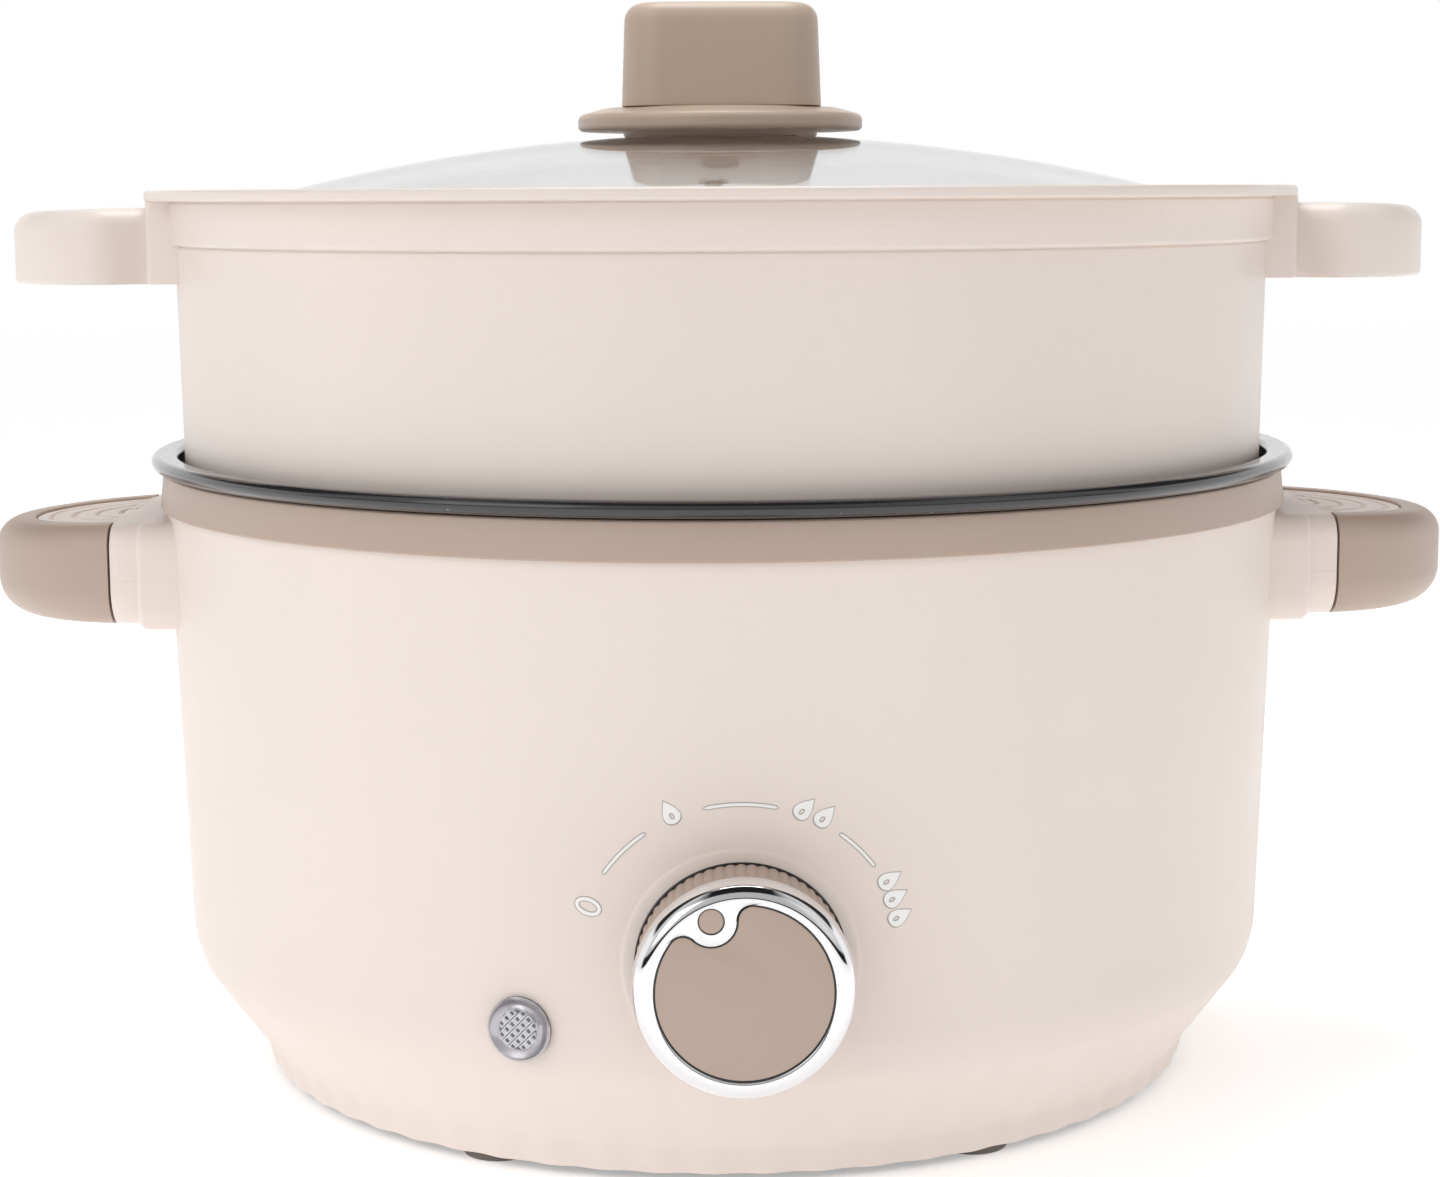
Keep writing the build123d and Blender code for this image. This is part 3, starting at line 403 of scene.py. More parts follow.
RECIPES = {
    "cream_plastic": (plastic, CREAM, (0.34, 0.44)),
    "steamer_plastic": (plastic, STEAMER_CREAM, (0.3, 0.4), 1800, 0.025, 0.04),
    "brown_plastic": (plastic, BROWN, (0.36, 0.46)),
    "knob_plastic": (plastic, KNOB_BROWN, (0.32, 0.42), 1800, 0.03),
    "non_stick": (non_stick,),
    "chrome": (metal, srgb(240, 240, 242), (0.03, 0.06), (1, 1, 1), 0.0005),
    "clear_glass": (clear, srgb(250, 252, 253), (0.0, 0.03)),
    "clear_plastic": (clear, srgb(246, 246, 248), (0.02, 0.06), 1.49),
    "steel": (metal, srgb(190, 190, 192), (0.28, 0.42)),
    "stainless": (metal, srgb(214, 214, 216), (0.16, 0.26), (1, 1, 12)),
    "aluminium": (metal, srgb(205, 206, 208), (0.35, 0.5), (12, 1, 1)),
    "brass": (metal, srgb(214, 186, 120), (0.22, 0.36)),
    "black_plastic": (plastic, srgb(46, 46, 48), (0.45, 0.6), 1400, 0.08, 0.1),
    "white_plastic": (plastic, srgb(238, 238, 235), (0.3, 0.4)),
    "foot_rubber": (plastic, srgb(112, 104, 98), (0.7, 0.85), 1500, 0.06, 0.08),
    "wire_sleeve": (braided, srgb(226, 222, 208)),
    "neon": (clear, srgb(248, 205, 180), (0.02, 0.06)),
}
MATERIALS = {name: make(name, *values) for name, (make, *values) in RECIPES.items()}
MATERIALS["silicone"] = plastic("silicone", srgb(205, 203, 200), (0.5, 0.6), Transmission_Weight=0.25)
PRINT_WHITE = plastic("print_white", srgb(250, 249, 247), (0.4, 0.5), 2600, 0.02, 0.01)
PRINT_EDGE = plastic("print_edge", srgb(172, 165, 160), (0.45, 0.55), 2600, 0.02, 0.02)
LAMP_GREY = plastic("lamp_grey", srgb(222, 218, 224), (0.15, 0.25), 900, 0.02, 0.06, Metallic=0.5)
# Painted light: the waffle's pale frames glow a little, to brighten them under the clear dome.
GLOWING_LAMP_GRID = plastic(
    "lamp_grid_glow", srgb(250, 250, 252), (0.18, 0.28), 900, 0.02, 0.02, Emission_Strength=0.15)
LAMP_DARK = plastic("lamp_dark", srgb(96, 93, 97), (0.3, 0.4), 900, 0.02, 0.06)


# ---- outlines

def rounded(points, closed=True, step=radians(7)):
    """An outline whose corners with a third number are arcs of that radius."""
    made = []
    last = len(points) - 1
    for i, point in enumerate(points):
        if len(point) == 2 or (not closed and i in (0, last)):
            made.append((point[0], point[1]))
            continue
        corner = Vector(point[:2])
        before = (Vector(points[i - 1][:2]) - corner).normalized()
        after = (Vector(points[0 if i == last else i + 1][:2]) - corner).normalized()
        half = before.angle(after) / 2
        centre = corner + (before + after).normalized() * point[2] / sin(half)
        start = corner + before * point[2] / tan(half) - centre
        turn = pi - 2 * half
        if before.cross(after) > 0:
            turn = -turn
        count = max(2, ceil(abs(turn) / step))
        for k in range(count + 1):
            arm = start.copy()
            arm.rotate(rotated(turn * k / count, 2))
            made.append(tuple(centre + arm))
    return made


def quarter(count, first=0):
    """Angles from nought to a right angle in that many steps."""
    return [QUARTER_TURN * k / count for k in range(first, count + 1)]


def oval(half_width, half_height, count):
    """Points round an oval, clockwise from the top."""
    turns = [FULL_TURN * k / count for k in range(count)]
    return [(half_width * sin(turn), half_height * cos(turn)) for turn in turns]


def circle(radius, count):
    return oval(radius, radius, count)


def arc(centre, radius, start, end, count):
    """Points along an arc without its last one; angles run clockwise from the top."""
    turns = [start + (end - start) * k / count for k in range(count)]
    return [(centre[0] + radius * sin(turn), centre[1] + radius * cos(turn)) for turn in turns]


def at_height(outline, z):
    """An outline as a level loop of points."""
    return [(x, y, z) for x, y in outline]


def rounded_rectangle(half_width, half_height, radius, per_corner=6):
    """Points round a rectangle with the same number at each corner, so that sizes can be joined."""
    made = []
    for corner in range(4):
        across = half_width - radius if corner in (0, 3) else radius - half_width
        up = half_height - radius if corner in (0, 1) else radius - half_height
        for k in range(per_corner + 1):
            turn = QUARTER_TURN * (corner + k / per_corner)
            made.append((across + radius * cos(turn), up + radius * sin(turn)))
    return made


def smooth_share(value, low, high):
    """0 below low, 1 above high, and an even S between."""
    share = min(1.0, max(0.0, (value - low) / (high - low)))
    return share * share * (3 - 2 * share)


# ---- meshes

def skin(loops, ring=False, caps=(True, True)):
    """Faces between successive loops of points; ring joins the last loop to the first."""
    count = len(loops[0])
    points = [Vector(p) for loop in loops for p in loop]
    faces = []
    for a in range(len(loops) if ring else len(loops) - 1):
        b = (a + 1) % len(loops)
        for k in range(count):
            n = (k + 1) % count
            faces.append((a * count + k, a * count + n, b * count + n, b * count + k))
    if not ring and caps[0]:
        faces.append(tuple(range(count))[::-1])
    if not ring and caps[1]:
        faces.append(tuple(range(len(points) - count, len(points))))
    return points, faces


def turned(section, steps=STEPS, warp=None):
    """A shape turned about Z from a closed section, or from one that starts and ends on the axis."""
    loops = []
    for radius, height in section:
        loop = []
        for k in range(steps):
            turn = FULL_TURN * k / steps
            r, z = warp(radius, height, turn) if warp else (radius, height)
            loop.append((r * sin(turn), -r * cos(turn), z))
        loops.append(loop)
    on_axis = section[0][0] == 0 and section[-1][0] == 0
    return skin(loops, ring=not on_axis, caps=(False, False))


def tube(inner, outer, low, high, steps):
    """A plain turned ring, or a disc when inner is nought."""
    return turned([(inner, low), (outer, low), (outer, high), (inner, high)], steps)


def part_turned(section, centre, root, steps=64):
    """The part beyond the plane X = root of a shape turned about an upright axis at X = centre."""
    loops = []
    for k in range(steps + 1):
        loop = []
        for radius, height in section:
            turn = acos(max(-1.0, min(1.0, (root - centre) / radius))) * (2 * k / steps - 1)
            loop.append((centre + radius * cos(turn), radius * sin(turn), height))
        loops.append(loop)
    return skin(loops)


def placed(shape, matrix):
    points, faces = shape
    return [matrix @ p for p in points], faces


def mirrored(shape):
    """The same shape on the left side."""
    points, faces = shape
    return [Vector((-p.x, p.y, p.z)) for p in points], [f[::-1] for f in faces]


SIDES = (("right", lambda shape: shape), ("left", mirrored))


def bent(shape, move):
    """A shape with each point moved by a function."""
    points, faces = shape
    return [Vector(move(p)) for p in points], faces


def new_object(name, data):
    made = bpy.data.objects.new(name, data)
    bpy.context.scene.collection.objects.link(made)
    return made


def raw_object(name, shapes):
    mesh = bpy.data.meshes.new(name)
    bm = bmesh.new()
    for points, faces in shapes:
        made = [bm.verts.new(p * MM) for p in points]
        for face in faces:
            bm.faces.new([made[i] for i in face])
    bmesh.ops.remove_doubles(bm, verts=bm.verts, dist=MERGE_DISTANCE)
    bmesh.ops.recalc_face_normals(bm, faces=bm.faces)
    bm.to_mesh(mesh)
    bm.free()
    return new_object(name, mesh)


def carve(target, shapes):
    """Cuts shapes out of an object's mesh."""
    cutter = raw_object("cutter", shapes)
    cut = target.modifiers.new("cut", "BOOLEAN")
    cut.operation = "DIFFERENCE"
    cut.solver = "EXACT"
    cut.object = cutter
    bpy.context.view_layer.update()
    evaluated = target.evaluated_get(bpy.context.evaluated_depsgraph_get())
    mesh = bpy.data.meshes.new_from_object(evaluated)
    target.modifiers.remove(cut)
    target.data = mesh
    bpy.data.objects.remove(cutter)


def piece(name, shapes, body, slot, replaces=(), cut=(), bevel=0.0, material=None):
    """One visible piece: its mesh, its finish, and the CAD body and nodes that it goes with."""
    made = raw_object(name, shapes)
    if cut:
        carve(made, cut)
        made.data.name = name
    made.data.materials.clear()
    made.data.materials.append(material or MATERIALS[slot])
    made.data.shade_smooth()
    if bevel:
        edges = made.modifiers.new("edges", "BEVEL")
        edges.width = bevel * MM
        edges.segments = 3
        edges.limit_method = "ANGLE"
        edges.angle_limit = radians(BEVEL_ANGLE)
        edges.harden_normals = True
    else:
        made.data.set_sharp_from_angle(angle=radians(SHARP_ANGLE))
    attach(made, body)
    if replaces:
        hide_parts(*replaces)
    return made


# ---- housing and pot

def wall_radius(z):
    """Radius of the housing's outside at a height."""
    outline = [point[:2] for point in HOUSING_OUTLINE]
    for (r0, z0), (r1, z1) in zip(outline, outline[1:]):
        if z <= z1:
            return r0 + (r1 - r0) * max(0.0, z - z0) / (z1 - z0)
    return outline[-1][0]


def on_wall(x, z, lift):
    """A point that stands off the front wall by lift."""
    radius = wall_radius(z) + lift
    return (x, -sqrt(radius ** 2 - x ** 2), z)


def fluted(radius, height, turn):
    """Scallops round the skirt that fade out where the wall becomes upright."""
    depth = FLUTE_DEPTH * (1 - smooth_share(height, *FLUTE_FADE))
    return radius - depth * (0.5 + 0.5 * cos(FLUTES * turn)), height


def lamp_place():
    """The lamp's own frame: its Z axis is square to the drafted wall."""
    out = Vector((sin(LAMP_AZIMUTH), -cos(LAMP_AZIMUTH), 0))
    origin = out * LAMP_WALL_RADIUS + Vector((0, 0, LAMP_HEIGHT))
    turn = rotated(LAMP_AZIMUTH, 4, "Z") @ rotated(QUARTER_TURN + WALL_DRAFT, 4, "X")
    return moved(origin) @ turn


def box_shape(low, high):
    outline = [(low[0], low[1]), (high[0], low[1]), (high[0], high[1]), (low[0], high[1])]
    return skin([at_height(outline, low[2]), at_height(outline, high[2])])


def housing_pieces():
    inner = [(r - HOUSING_WALL, z) for r, z, _ in reversed(HOUSING_OUTLINE)]
    section = rounded(HOUSING_OUTLINE + inner, step=radians(4))
    half_x, half_z = INLET_HOLE
    slot = box_shape((-half_x, 120, INLET_Z - half_z), (half_x, 160, INLET_Z + half_z))
    lamp_hole = placed(tube(0, 5.6, -12, 8, 40), lamp_place())
    piece("housing_shell", [turned(section, FLUTES * 10, fluted)], "base", "cream_plastic", ["housing"],
          cut=[slot, lamp_hole])
    pad = [
        [(x, y, INLET_Z + z) for x, z in outline]
        for y, outline in (
            (136, rounded_rectangle(half_x, half_z, 1.5)),
            (136, rounded_rectangle(27, 17, 5)),
            (145.4, rounded_rectangle(27, 17, 5)),
            (145.85, rounded_rectangle(26.8, 16.8, 4.8)),
            (146, rounded_rectangle(26.4, 16.4, 4.4)),
            (146, rounded_rectangle(half_x, half_z, 1.5)),
        )
    ]
    piece("inlet_pad", [skin(pad, ring=True)], "base", "cream_plastic")


def dial_land():
    """The low round land on the wall behind the dial, and a black disc round the dial's foot that is painted
    shade for the gap there.
    """
    section = [(0, 0.42), (25.9, 0.42), (26.5, 0.36), (26.9, 0.22), (27.05, -0.5)]
    loops = [[on_wall(x, DIAL_Z + z, lift) for x, z in circle(r, 180)] for r, lift in section]
    piece("dial_land", [skin(loops, caps=(False, False))], "base", "cream_plastic")
    # Painted shade: a black disc behind the skirt stands in for the shadow in the gap between the skirt and
    # the wall.
    gap_shade_disc = placed(tube(22.5, 23.95, -2.2, -0.15, 180), dial_place())
    piece("dial_gap_shade", [gap_shade_disc], "base", "black_plastic")


def trim_and_pot():
    ring = rounded([
        (138.5, HOUSING_TOP), (TRIM_RADIUS, HOUSING_TOP, 0.4), (TRIM_RADIUS - 1, TRIM_TOP, 0.8),
        (145.5, TRIM_TOP), (145.5, 151.3), (138.5, 151.3),
    ])
    piece("trim_band", [turned(ring)], "base", "brown_plastic", ["trim_ring"])
    pot = rounded([
        (0, POT_BASE), (128.2, POT_BASE, 22.2), (136.8, 151.3, 0.8), (145.3, 151.3, 0.8),
        (145.3, 158.7, 0.6), (150.0, 158.9, 2.2), (POT_RIM_RADIUS, POT_TOP, 1.9),
        (143.1, POT_TOP - 0.3, 1.6), (143.1, 153.5, 0.8), (134.6, 153.5, 1.4), (126, 79, 20), (0, 79),
    ], closed=False)
    piece("pot_shell", [turned(pot)], "base", "non_stick", ["inner_pot"])


def feet_pieces():
    section = rounded([
        (0, 0.7), (5.2, 0.7), (5.8, 0.0, 0.2), (9.0, 0.0, 0.8), (9.0, SKIRT_BOTTOM), (3.0, SKIRT_BOTTOM),
        (3.0, 5.1), (4.2, 5.1), (3.2, 6.6, 0.5), (0, 6.6),
    ], closed=False)
    foot = turned(section, 72)
    shapes = []
    for azimuth in FOOT_AZIMUTHS:
        turn = radians(azimuth)
        spot = (FOOT_CIRCLE * sin(turn), -FOOT_CIRCLE * cos(turn), 0)
        shapes.append(placed(foot, moved(spot)))
    piece("rubber_feet", shapes, "base", "foot_rubber", ["feet"])


# ---- side handles of the housing

def sloped(point):
    """Leans the handle's top down towards its tip."""
    share = smooth_share(point.z, HANDLE_PARTING, HANDLE_TOP - 8)
    drop = HANDLE_SLOPE * (point.x - HANDLE_ROOT) * share
    return (point.x, point.y, point.z - drop)


def side_profile(low, high, radius, up):
    """(inset, height) points up or down the handle's side into a rounded edge of that radius."""
    made = [(0.0, low)]
    for turn in quarter(12):
        inset = radius * (1 - cos(turn))
        rise = high - radius + radius * sin(turn) if up else high + radius * (1 - sin(turn))
        made.append((inset, rise))
    return made


def wall_x(radius, y):
    """How far out a round wall of that radius is at y."""
    return sqrt(radius ** 2 - y ** 2)


def across_loop(x, profile, half_width):
    """A closed loop in the plane X = x from a side profile and its mirror image."""
    right = [(x, half_width(x, inset), z) for inset, z in profile]
    left = [(x, -half_width(x, inset), z) for inset, z in reversed(profile)]
    return right + left


def arm_width(x, inset):
    return sqrt((HANDLE_RADIUS - inset) ** 2 - (x - HANDLE_CENTRE) ** 2)


def handle_arm(low, high, radius, up):
    """Half of the arm between the collar and the seam, with a softened edge at the seam."""
    loops = []
    for x, shrink in ((147.5, 0), (150.5, 0), (153.5, 0), (155.9, 0), (156.3, 0.12), (HANDLE_SEAM, 0.5)):
        profile = side_profile(low, high - shrink if up else high + shrink, radius, up)
        loops.append(across_loop(x, [(inset + shrink, z) for inset, z in profile], arm_width))
    return bent(skin(loops), sloped)


def collar_half(low, high, up):
    """Half of the block between the wall and the arm, rounded along its outer edges. It starts with
    a loop on the wall and one halfway out."""
    loops = []
    for k in range(-2, 7):
        turn = QUARTER_TURN * max(0, k) / 6
        shrink = COLLAR_EDGE * (1 - cos(turn))
        x = HANDLE_ROOT - COLLAR_EDGE + COLLAR_EDGE * sin(turn)
        end = high - shrink if up else high + shrink
        profile = side_profile(low, end, COLLAR_FILLET - shrink, up)
        loop = across_loop(x, profile, lambda _, inset: COLLAR_HALF_WIDTH - shrink - inset)
        if k == -2:
            loop = [(wall_x(COLLAR_WALL_RADIUS, y), y, z) for _, y, z in loop]
        if k == -1:
            loop = [((x + wall_x(COLLAR_WALL_RADIUS, y)) / 2, y, z) for _, y, z in loop]
        loops.append(loop)
    return skin(loops)


def pad_section():
    """The ribbed pad's section: round grooves in a flat top."""
    level, floor = PAD_LEVEL, PAD_LEVEL - 0.9
    points = [(PAD_INNER, level)]
    for groove in PAD_GROOVES:
        points += [(groove - 0.8, level, 0.25), (groove - 0.25, floor, 0.2),
                   (groove + 0.25, floor, 0.2), (groove + 0.8, level, 0.25)]
    points += [(PAD_RADIUS, level, 0.5), (PAD_RADIUS, PAD_UNDERSIDE), (PAD_INNER, PAD_UNDERSIDE)]
    return rounded(points, step=radians(20))


def pad_lift(point):
    """The pad leans with the handle and rises to meet the arm."""
    lift = 0.55 * (1 - smooth_share(point.x, HANDLE_SEAM, HANDLE_SEAM + 2.2))
    x, y, z = sloped(point)
    return (x, y, z + lift) if point.z > HANDLE_TOP - 2 else (x, y, z)


def grip_section():
    """The grip is a hollow shell, open where the pad lies in it."""
    start, mouth, hollow = 6.7, PAD_RADIUS + 0.25, 32.6
    floor, shoulder = HANDLE_BOTTOM + 3, 138.5
    return rounded([
        (start, HANDLE_BOTTOM), (HANDLE_RADIUS, HANDLE_BOTTOM, HANDLE_BOTTOM_FILLET),
        (HANDLE_RADIUS, HANDLE_TOP, HANDLE_TOP_FILLET), (mouth, HANDLE_TOP, 0.6),
        (mouth, shoulder), (hollow, shoulder), (hollow, floor), (start, floor),
    ], step=radians(6))


def dimple_cutters():
    """A row of small dimples near the pad's root."""
    cup = turned([(0, -0.9), (0.8, -0.7), (1.15, 0.0), (1.3, 1.5), (0, 1.5)], 20)
    x = HANDLE_SEAM + 3.2
    spots = [sloped(Vector((x, y, PAD_LEVEL))) for y in DIMPLE_SPOTS]
    return [placed(cup, moved(spot)) for spot in spots]


def tray_shape():
    """The tray under the pad that the grip's screws hold."""
    low, floor, high = TRAY_LEVELS
    section = [
        (PAD_INNER, low), (PAD_RADIUS, low), (PAD_RADIUS, high), (TRAY_LEDGE, high), (TRAY_LEDGE, floor),
        (PAD_INNER, floor),
    ]
    return part_turned(section, HANDLE_CENTRE, HANDLE_SEAM - 0.4, 48)


def handle_pieces():
    arm_top = handle_arm(HANDLE_PARTING, HANDLE_TOP, HANDLE_TOP_FILLET, True)
    arm_low = handle_arm(HANDLE_PARTING, HANDLE_BOTTOM, HANDLE_BOTTOM_FILLET, False)
    collar_top = collar_half(HANDLE_PARTING, HANDLE_TOP + 0.2, True)
    collar_low = collar_half(HANDLE_PARTING, COLLAR_BOTTOM, False)
    pad = bent(part_turned(pad_section(), HANDLE_CENTRE, HANDLE_SEAM - 0.3, 72), pad_lift)
    grip = bent(part_turned(grip_section(), HANDLE_CENTRE, HANDLE_SEAM + SEAM_GAP, 96), sloped)
    for side, turn in SIDES:
        cups = [turn(cup) for cup in dimple_cutters()]
        for name, shape, half, cut, bevel in (
            ("collar_top", collar_top, "upper", (), 0.1), ("arm_top", arm_top, "upper", (), 0.1),
            ("pad", pad, "upper", cups, 0.0), ("collar_low", collar_low, "lower", (), 0.1),
            ("arm_low", arm_low, "lower", (), 0.1), ("tray", tray_shape(), "lower", (), 0.0),
        ):
            piece(f"{name}_{side}", [turn(shape)], "base", "cream_plastic", [f"handle_{half}_{side}"],
                  cut=cut, bevel=bevel)
        piece(f"grip_shell_{side}", [turn(grip)], "base", "brown_plastic", [f"grip_{side}"], bevel=0.35)


# ---- dial, marks and lamp

def dial_place():
    """The dial's own frame: Z towards the user from the dial's back, Y up."""
    return moved((0, -DIAL_BACK, DIAL_Z)) @ rotated(QUARTER_TURN, 4, "X")


def ribbed(radius, height, turn):
    """Round ribs with narrow valleys on the skirt's side."""
    if radius < DIAL_SKIRT_RADIUS - 0.6:
        return radius, height
    return radius - RIB_DEPTH * (1 - abs(cos(DIAL_RIBS * turn))), height


def pocket_outline(gap):
    """The edge of the bezel's pocket, or with a gap that of the plate in it: a circle with a round
    island for the pointer, joined by two S-curves. The island is on +Y."""
    ring, island, blend = POCKET_RADIUS - gap, ISLAND_RADIUS + gap, POCKET_BLEND - gap
    offset = ISLAND_OFFSET
    far = ring - blend
    near = island + blend
    swing = acos((far ** 2 + offset ** 2 - near ** 2) / (2 * far * offset))
    centre = Vector((far * sin(swing), far * cos(swing)))
    middle = Vector((0, offset))
    meet_island = centre + (middle - centre) * blend / near
    island_end = atan2(meet_island.x, offset - meet_island.y)
    turn_out = atan2(centre.x, centre.y)
    turn_in = atan2(meet_island.x - centre.x, meet_island.y - centre.y) % FULL_TURN
    island_count, blend_count = POCKET_POINTS // 16, POCKET_POINTS // 20
    ring_count = POCKET_POINTS // 2 - island_count - blend_count
    half = arc((0, offset), island, pi, pi - island_end, island_count)
    half += arc(centre, blend, turn_in, turn_out + FULL_TURN, blend_count)
    half += arc((0, 0), ring, swing, pi, ring_count)
    return half + [(0, -ring)] + [(-x, y) for x, y in reversed(half[1:])]


def pocket_loops(front, levels):
    """Loops along the pocket's edge, each with its gap and its depth from the bezel's front."""
    return [at_height(pocket_outline(gap), front + depth) for gap, depth in levels]


def dial_pieces():
    """The skirt, and the bezel, face and pointer in front of it. Heights are from the dial's back."""
    place = dial_place()
    tall = BEZEL_BACK - DIAL_BACK
    front = BEZEL_FRONT - DIAL_BACK
    skirt = rounded([
        (3, 0), (7, 0), (7, tall - 2), (DIAL_SKIRT_RADIUS - 2, tall - 2), (DIAL_SKIRT_RADIUS - 2, 0),
        (DIAL_SKIRT_RADIUS, 0, 0.3), (DIAL_SKIRT_RADIUS, tall, 0.2), (3, tall),
    ])
    ribs = placed(turned(skirt, 600, ribbed), place)
    piece("ribbed_skirt", [ribs], "dial", "brown_plastic", ["dial_skirt"])

    swing = place @ rotated(radians(DIAL_AT_REST), 4, "Z")
    levels = [(BEZEL_RADIUS - 0.9, tall), (BEZEL_RADIUS - 0.2, tall + 0.4), (BEZEL_RADIUS, tall + 1.0)]
    for turn in quarter(16):
        reach = (BEZEL_RADIUS - BEZEL_CREST) * cos(turn) ** 0.9
        levels.append((BEZEL_CREST + reach, front - BEZEL_ROUND + BEZEL_ROUND * sin(turn) ** 0.95))
    loops = [at_height(circle(r, POCKET_POINTS), z) for r, z in levels]
    loops += pocket_loops(front, ((-0.12, 0.0), (0.0, -0.14), (0.0, -3.1)))
    island = moved((0, ISLAND_OFFSET, front))
    seat = placed(tube(0, 2.95, -1.5, 2, 48), island)
    bezel = piece("bezel", [placed(skin(loops), swing)], "dial", "chrome", ["chrome_bezel"],
                  cut=[placed(seat, swing)])
    bezel.data.set_sharp_from_angle(angle=radians(50))

    # Painted shade: black rings in the gap round the face plate and round the pointer's seat stand in for
    # the shadow in those gaps.
    gap_shade_ring = skin(pocket_loops(front, ((0.02, -3.05), (0.02, -0.35), (0.5, -0.35), (0.5, -3.05))), ring=True)
    socket = placed(tube(2.72, 2.93, -1.4, -0.3, 48), island)
    piece("face_gap_shade", [placed(gap_shade_ring, swing), placed(socket, swing)], "dial", "black_plastic")
    face = skin(pocket_loops(front, ((0.4, -3.0), (0.4, -0.4), (0.47, -0.26), (0.65, -0.2))))
    piece("face_plate", [placed(face, swing)], "dial", "brown_plastic", ["dial_face"])
    dot = turned(rounded([(0, -1.4), (2.7, -1.4), (2.7, -0.08, 0.3), (0, -0.08)], closed=False), 48)
    piece("pointer", [placed(dot, swing @ island)], "dial", "brown_plastic", ["pointer_dot"])


def wall_print(name, outlines, lift, material):
    """Flat marks on the wall. Each is a pair of loops, outer and inner, in (across, up) from the dial."""
    shapes = []
    for outer, inner in outlines:
        loops = []
        for loop, stand in ((outer, PRINT_ROOT), (outer, lift), (inner, lift), (inner, PRINT_ROOT)):
            loops.append([on_wall(x, DIAL_Z + z, stand) for x, z in loop])
        shapes.append(skin(loops, ring=True))
    piece(name, shapes, "base", "white_plastic", material=material)


def turned_point(x, z, clock):
    """A point turned clockwise about the dial's axis."""
    turn = radians(clock)
    across = x * cos(turn) + z * sin(turn)
    up = -x * sin(turn) + z * cos(turn)
    return across, up


def mark_place(clock, radius, tilt, points):
    """Points moved to a clock angle and radius round the dial, and tilted about their own centre."""
    across, up = turned_point(0, radius, clock)
    return [(across + x, up + z) for x, z in (turned_point(x, z, tilt) for x, z in points)]


def drop_loops(grow):
    """A teardrop with an oval hole, tip up."""
    outer = []
    for k in range(32):
        turn = FULL_TURN * k / 32
        wide = (2.65 + grow) * sin(turn) * abs(sin(turn / 2)) ** 1.3
        outer.append((wide, (2.8 + grow * 1.5) * cos(turn) + 0.5))
    return outer, [(x, z - 0.55) for x, z in oval(0.52 - grow, 0.8 - grow, 32)]


def zero_loops(grow):
    """A plain nought."""
    return oval(2.0 + grow, 3.0 + grow, 40), oval(1.2 - grow, 2.2 - grow, 40)


def arc_loop(start, end, grow):
    """A thin arc line with round ends, as an outer and an inner edge."""
    half = ARC_HALF_WIDTH + grow
    reach = degrees(grow / ARC_RADIUS)
    outer, inner = [], []
    for k in range(25):
        clock = start - reach + (end - start + 2 * reach) * k / 24
        taper = sqrt(max(0.0, 1 - (2 * k / 24 - 1) ** 20))
        outer.append(turned_point(0, ARC_RADIUS + half * taper, clock))
        inner.append(turned_point(0, ARC_RADIUS - half * taper, clock))
    return outer, inner


def arc_shapes(grow, lift):
    """Solid arc lines: each is a bar whose four edges run along the arc."""
    shapes = []
    for start, end in MARK_ARCS:
        loops = []
        for a, b in zip(*arc_loop(start, end, grow)):
            corners = ((a, PRINT_ROOT), (a, lift), (b, lift), (b, PRINT_ROOT))
            loops.append([on_wall(x, DIAL_Z + z, stand) for (x, z), stand in corners])
        shapes.append(skin(loops))
    return shapes


def printed_marks():
    """The white marks, each on a slightly wider grey one that shows as its outline."""
    for name, grow, lift, material in (
        ("marks_edge", 0.22, 0.06, PRINT_EDGE), ("marks", 0.0, 0.14, PRINT_WHITE),
    ):
        outlines = []
        for place in DROPS:
            outlines.append([mark_place(*place, loop) for loop in drop_loops(grow)])
        outlines.append([mark_place(*OFF_MARK, loop) for loop in zero_loops(grow)])
        wall_print(name, outlines, lift, material)
        piece(name + "_arcs", arc_shapes(grow, lift), "base", "white_plastic", material=material)


def lamp_pieces():
    """A clear dome and barrel, with a reflector, a dark disc and a pale waffle behind it; the waffle glows a
    little as painted light.
    """
    place = lamp_place()
    radius, height, flat = LAMP_RADIUS, LAMP_DEPTH, LAMP_FLAT
    dome = [(0, 1.5), (4.7, 1.5), (4.9, 0.0), (radius - 0.4, 0.0), (radius, 0.3)]
    for turn in quarter(12):
        dome.append((flat + (radius - flat) * cos(turn), 0.7 + (height - 0.75) * sin(turn)))
    dome.append((0, height))
    piece("lens_dome", [placed(turned(dome, 96), place)], "base", "clear_plastic", ["indicator_lens"])
    barrel = placed(tube(flat, 5.35, -12.5, 0.0, 64), place)
    piece("lens_barrel", [barrel], "base", "clear_plastic")
    back = rounded([(4.6, 0.25), (7.0, 0.25), (6.6, 0.9), (4.6, 0.5)])
    piece("lamp_reflector", [placed(turned(back, 64), place)], "base", "clear_plastic", material=LAMP_GREY)
    disc = placed(tube(0, WAFFLE_RADIUS, 0.2, 0.7, 64), place)
    piece("lamp_disc", [disc], "base", "clear_plastic", material=LAMP_DARK)
    grid = [placed(tile, place) for tile in waffle(WAFFLE_RADIUS, WAFFLE_STEP, 0.65, 1.2)]
    piece("lamp_waffle", grid, "base", "clear_plastic", material=GLOWING_LAMP_GRID)


CORNERS = ((1, 0), (0, 1), (-1, 0), (0, -1))


def kept_within(point, radius):
    return point.normalized() * radius if point.length > radius else point


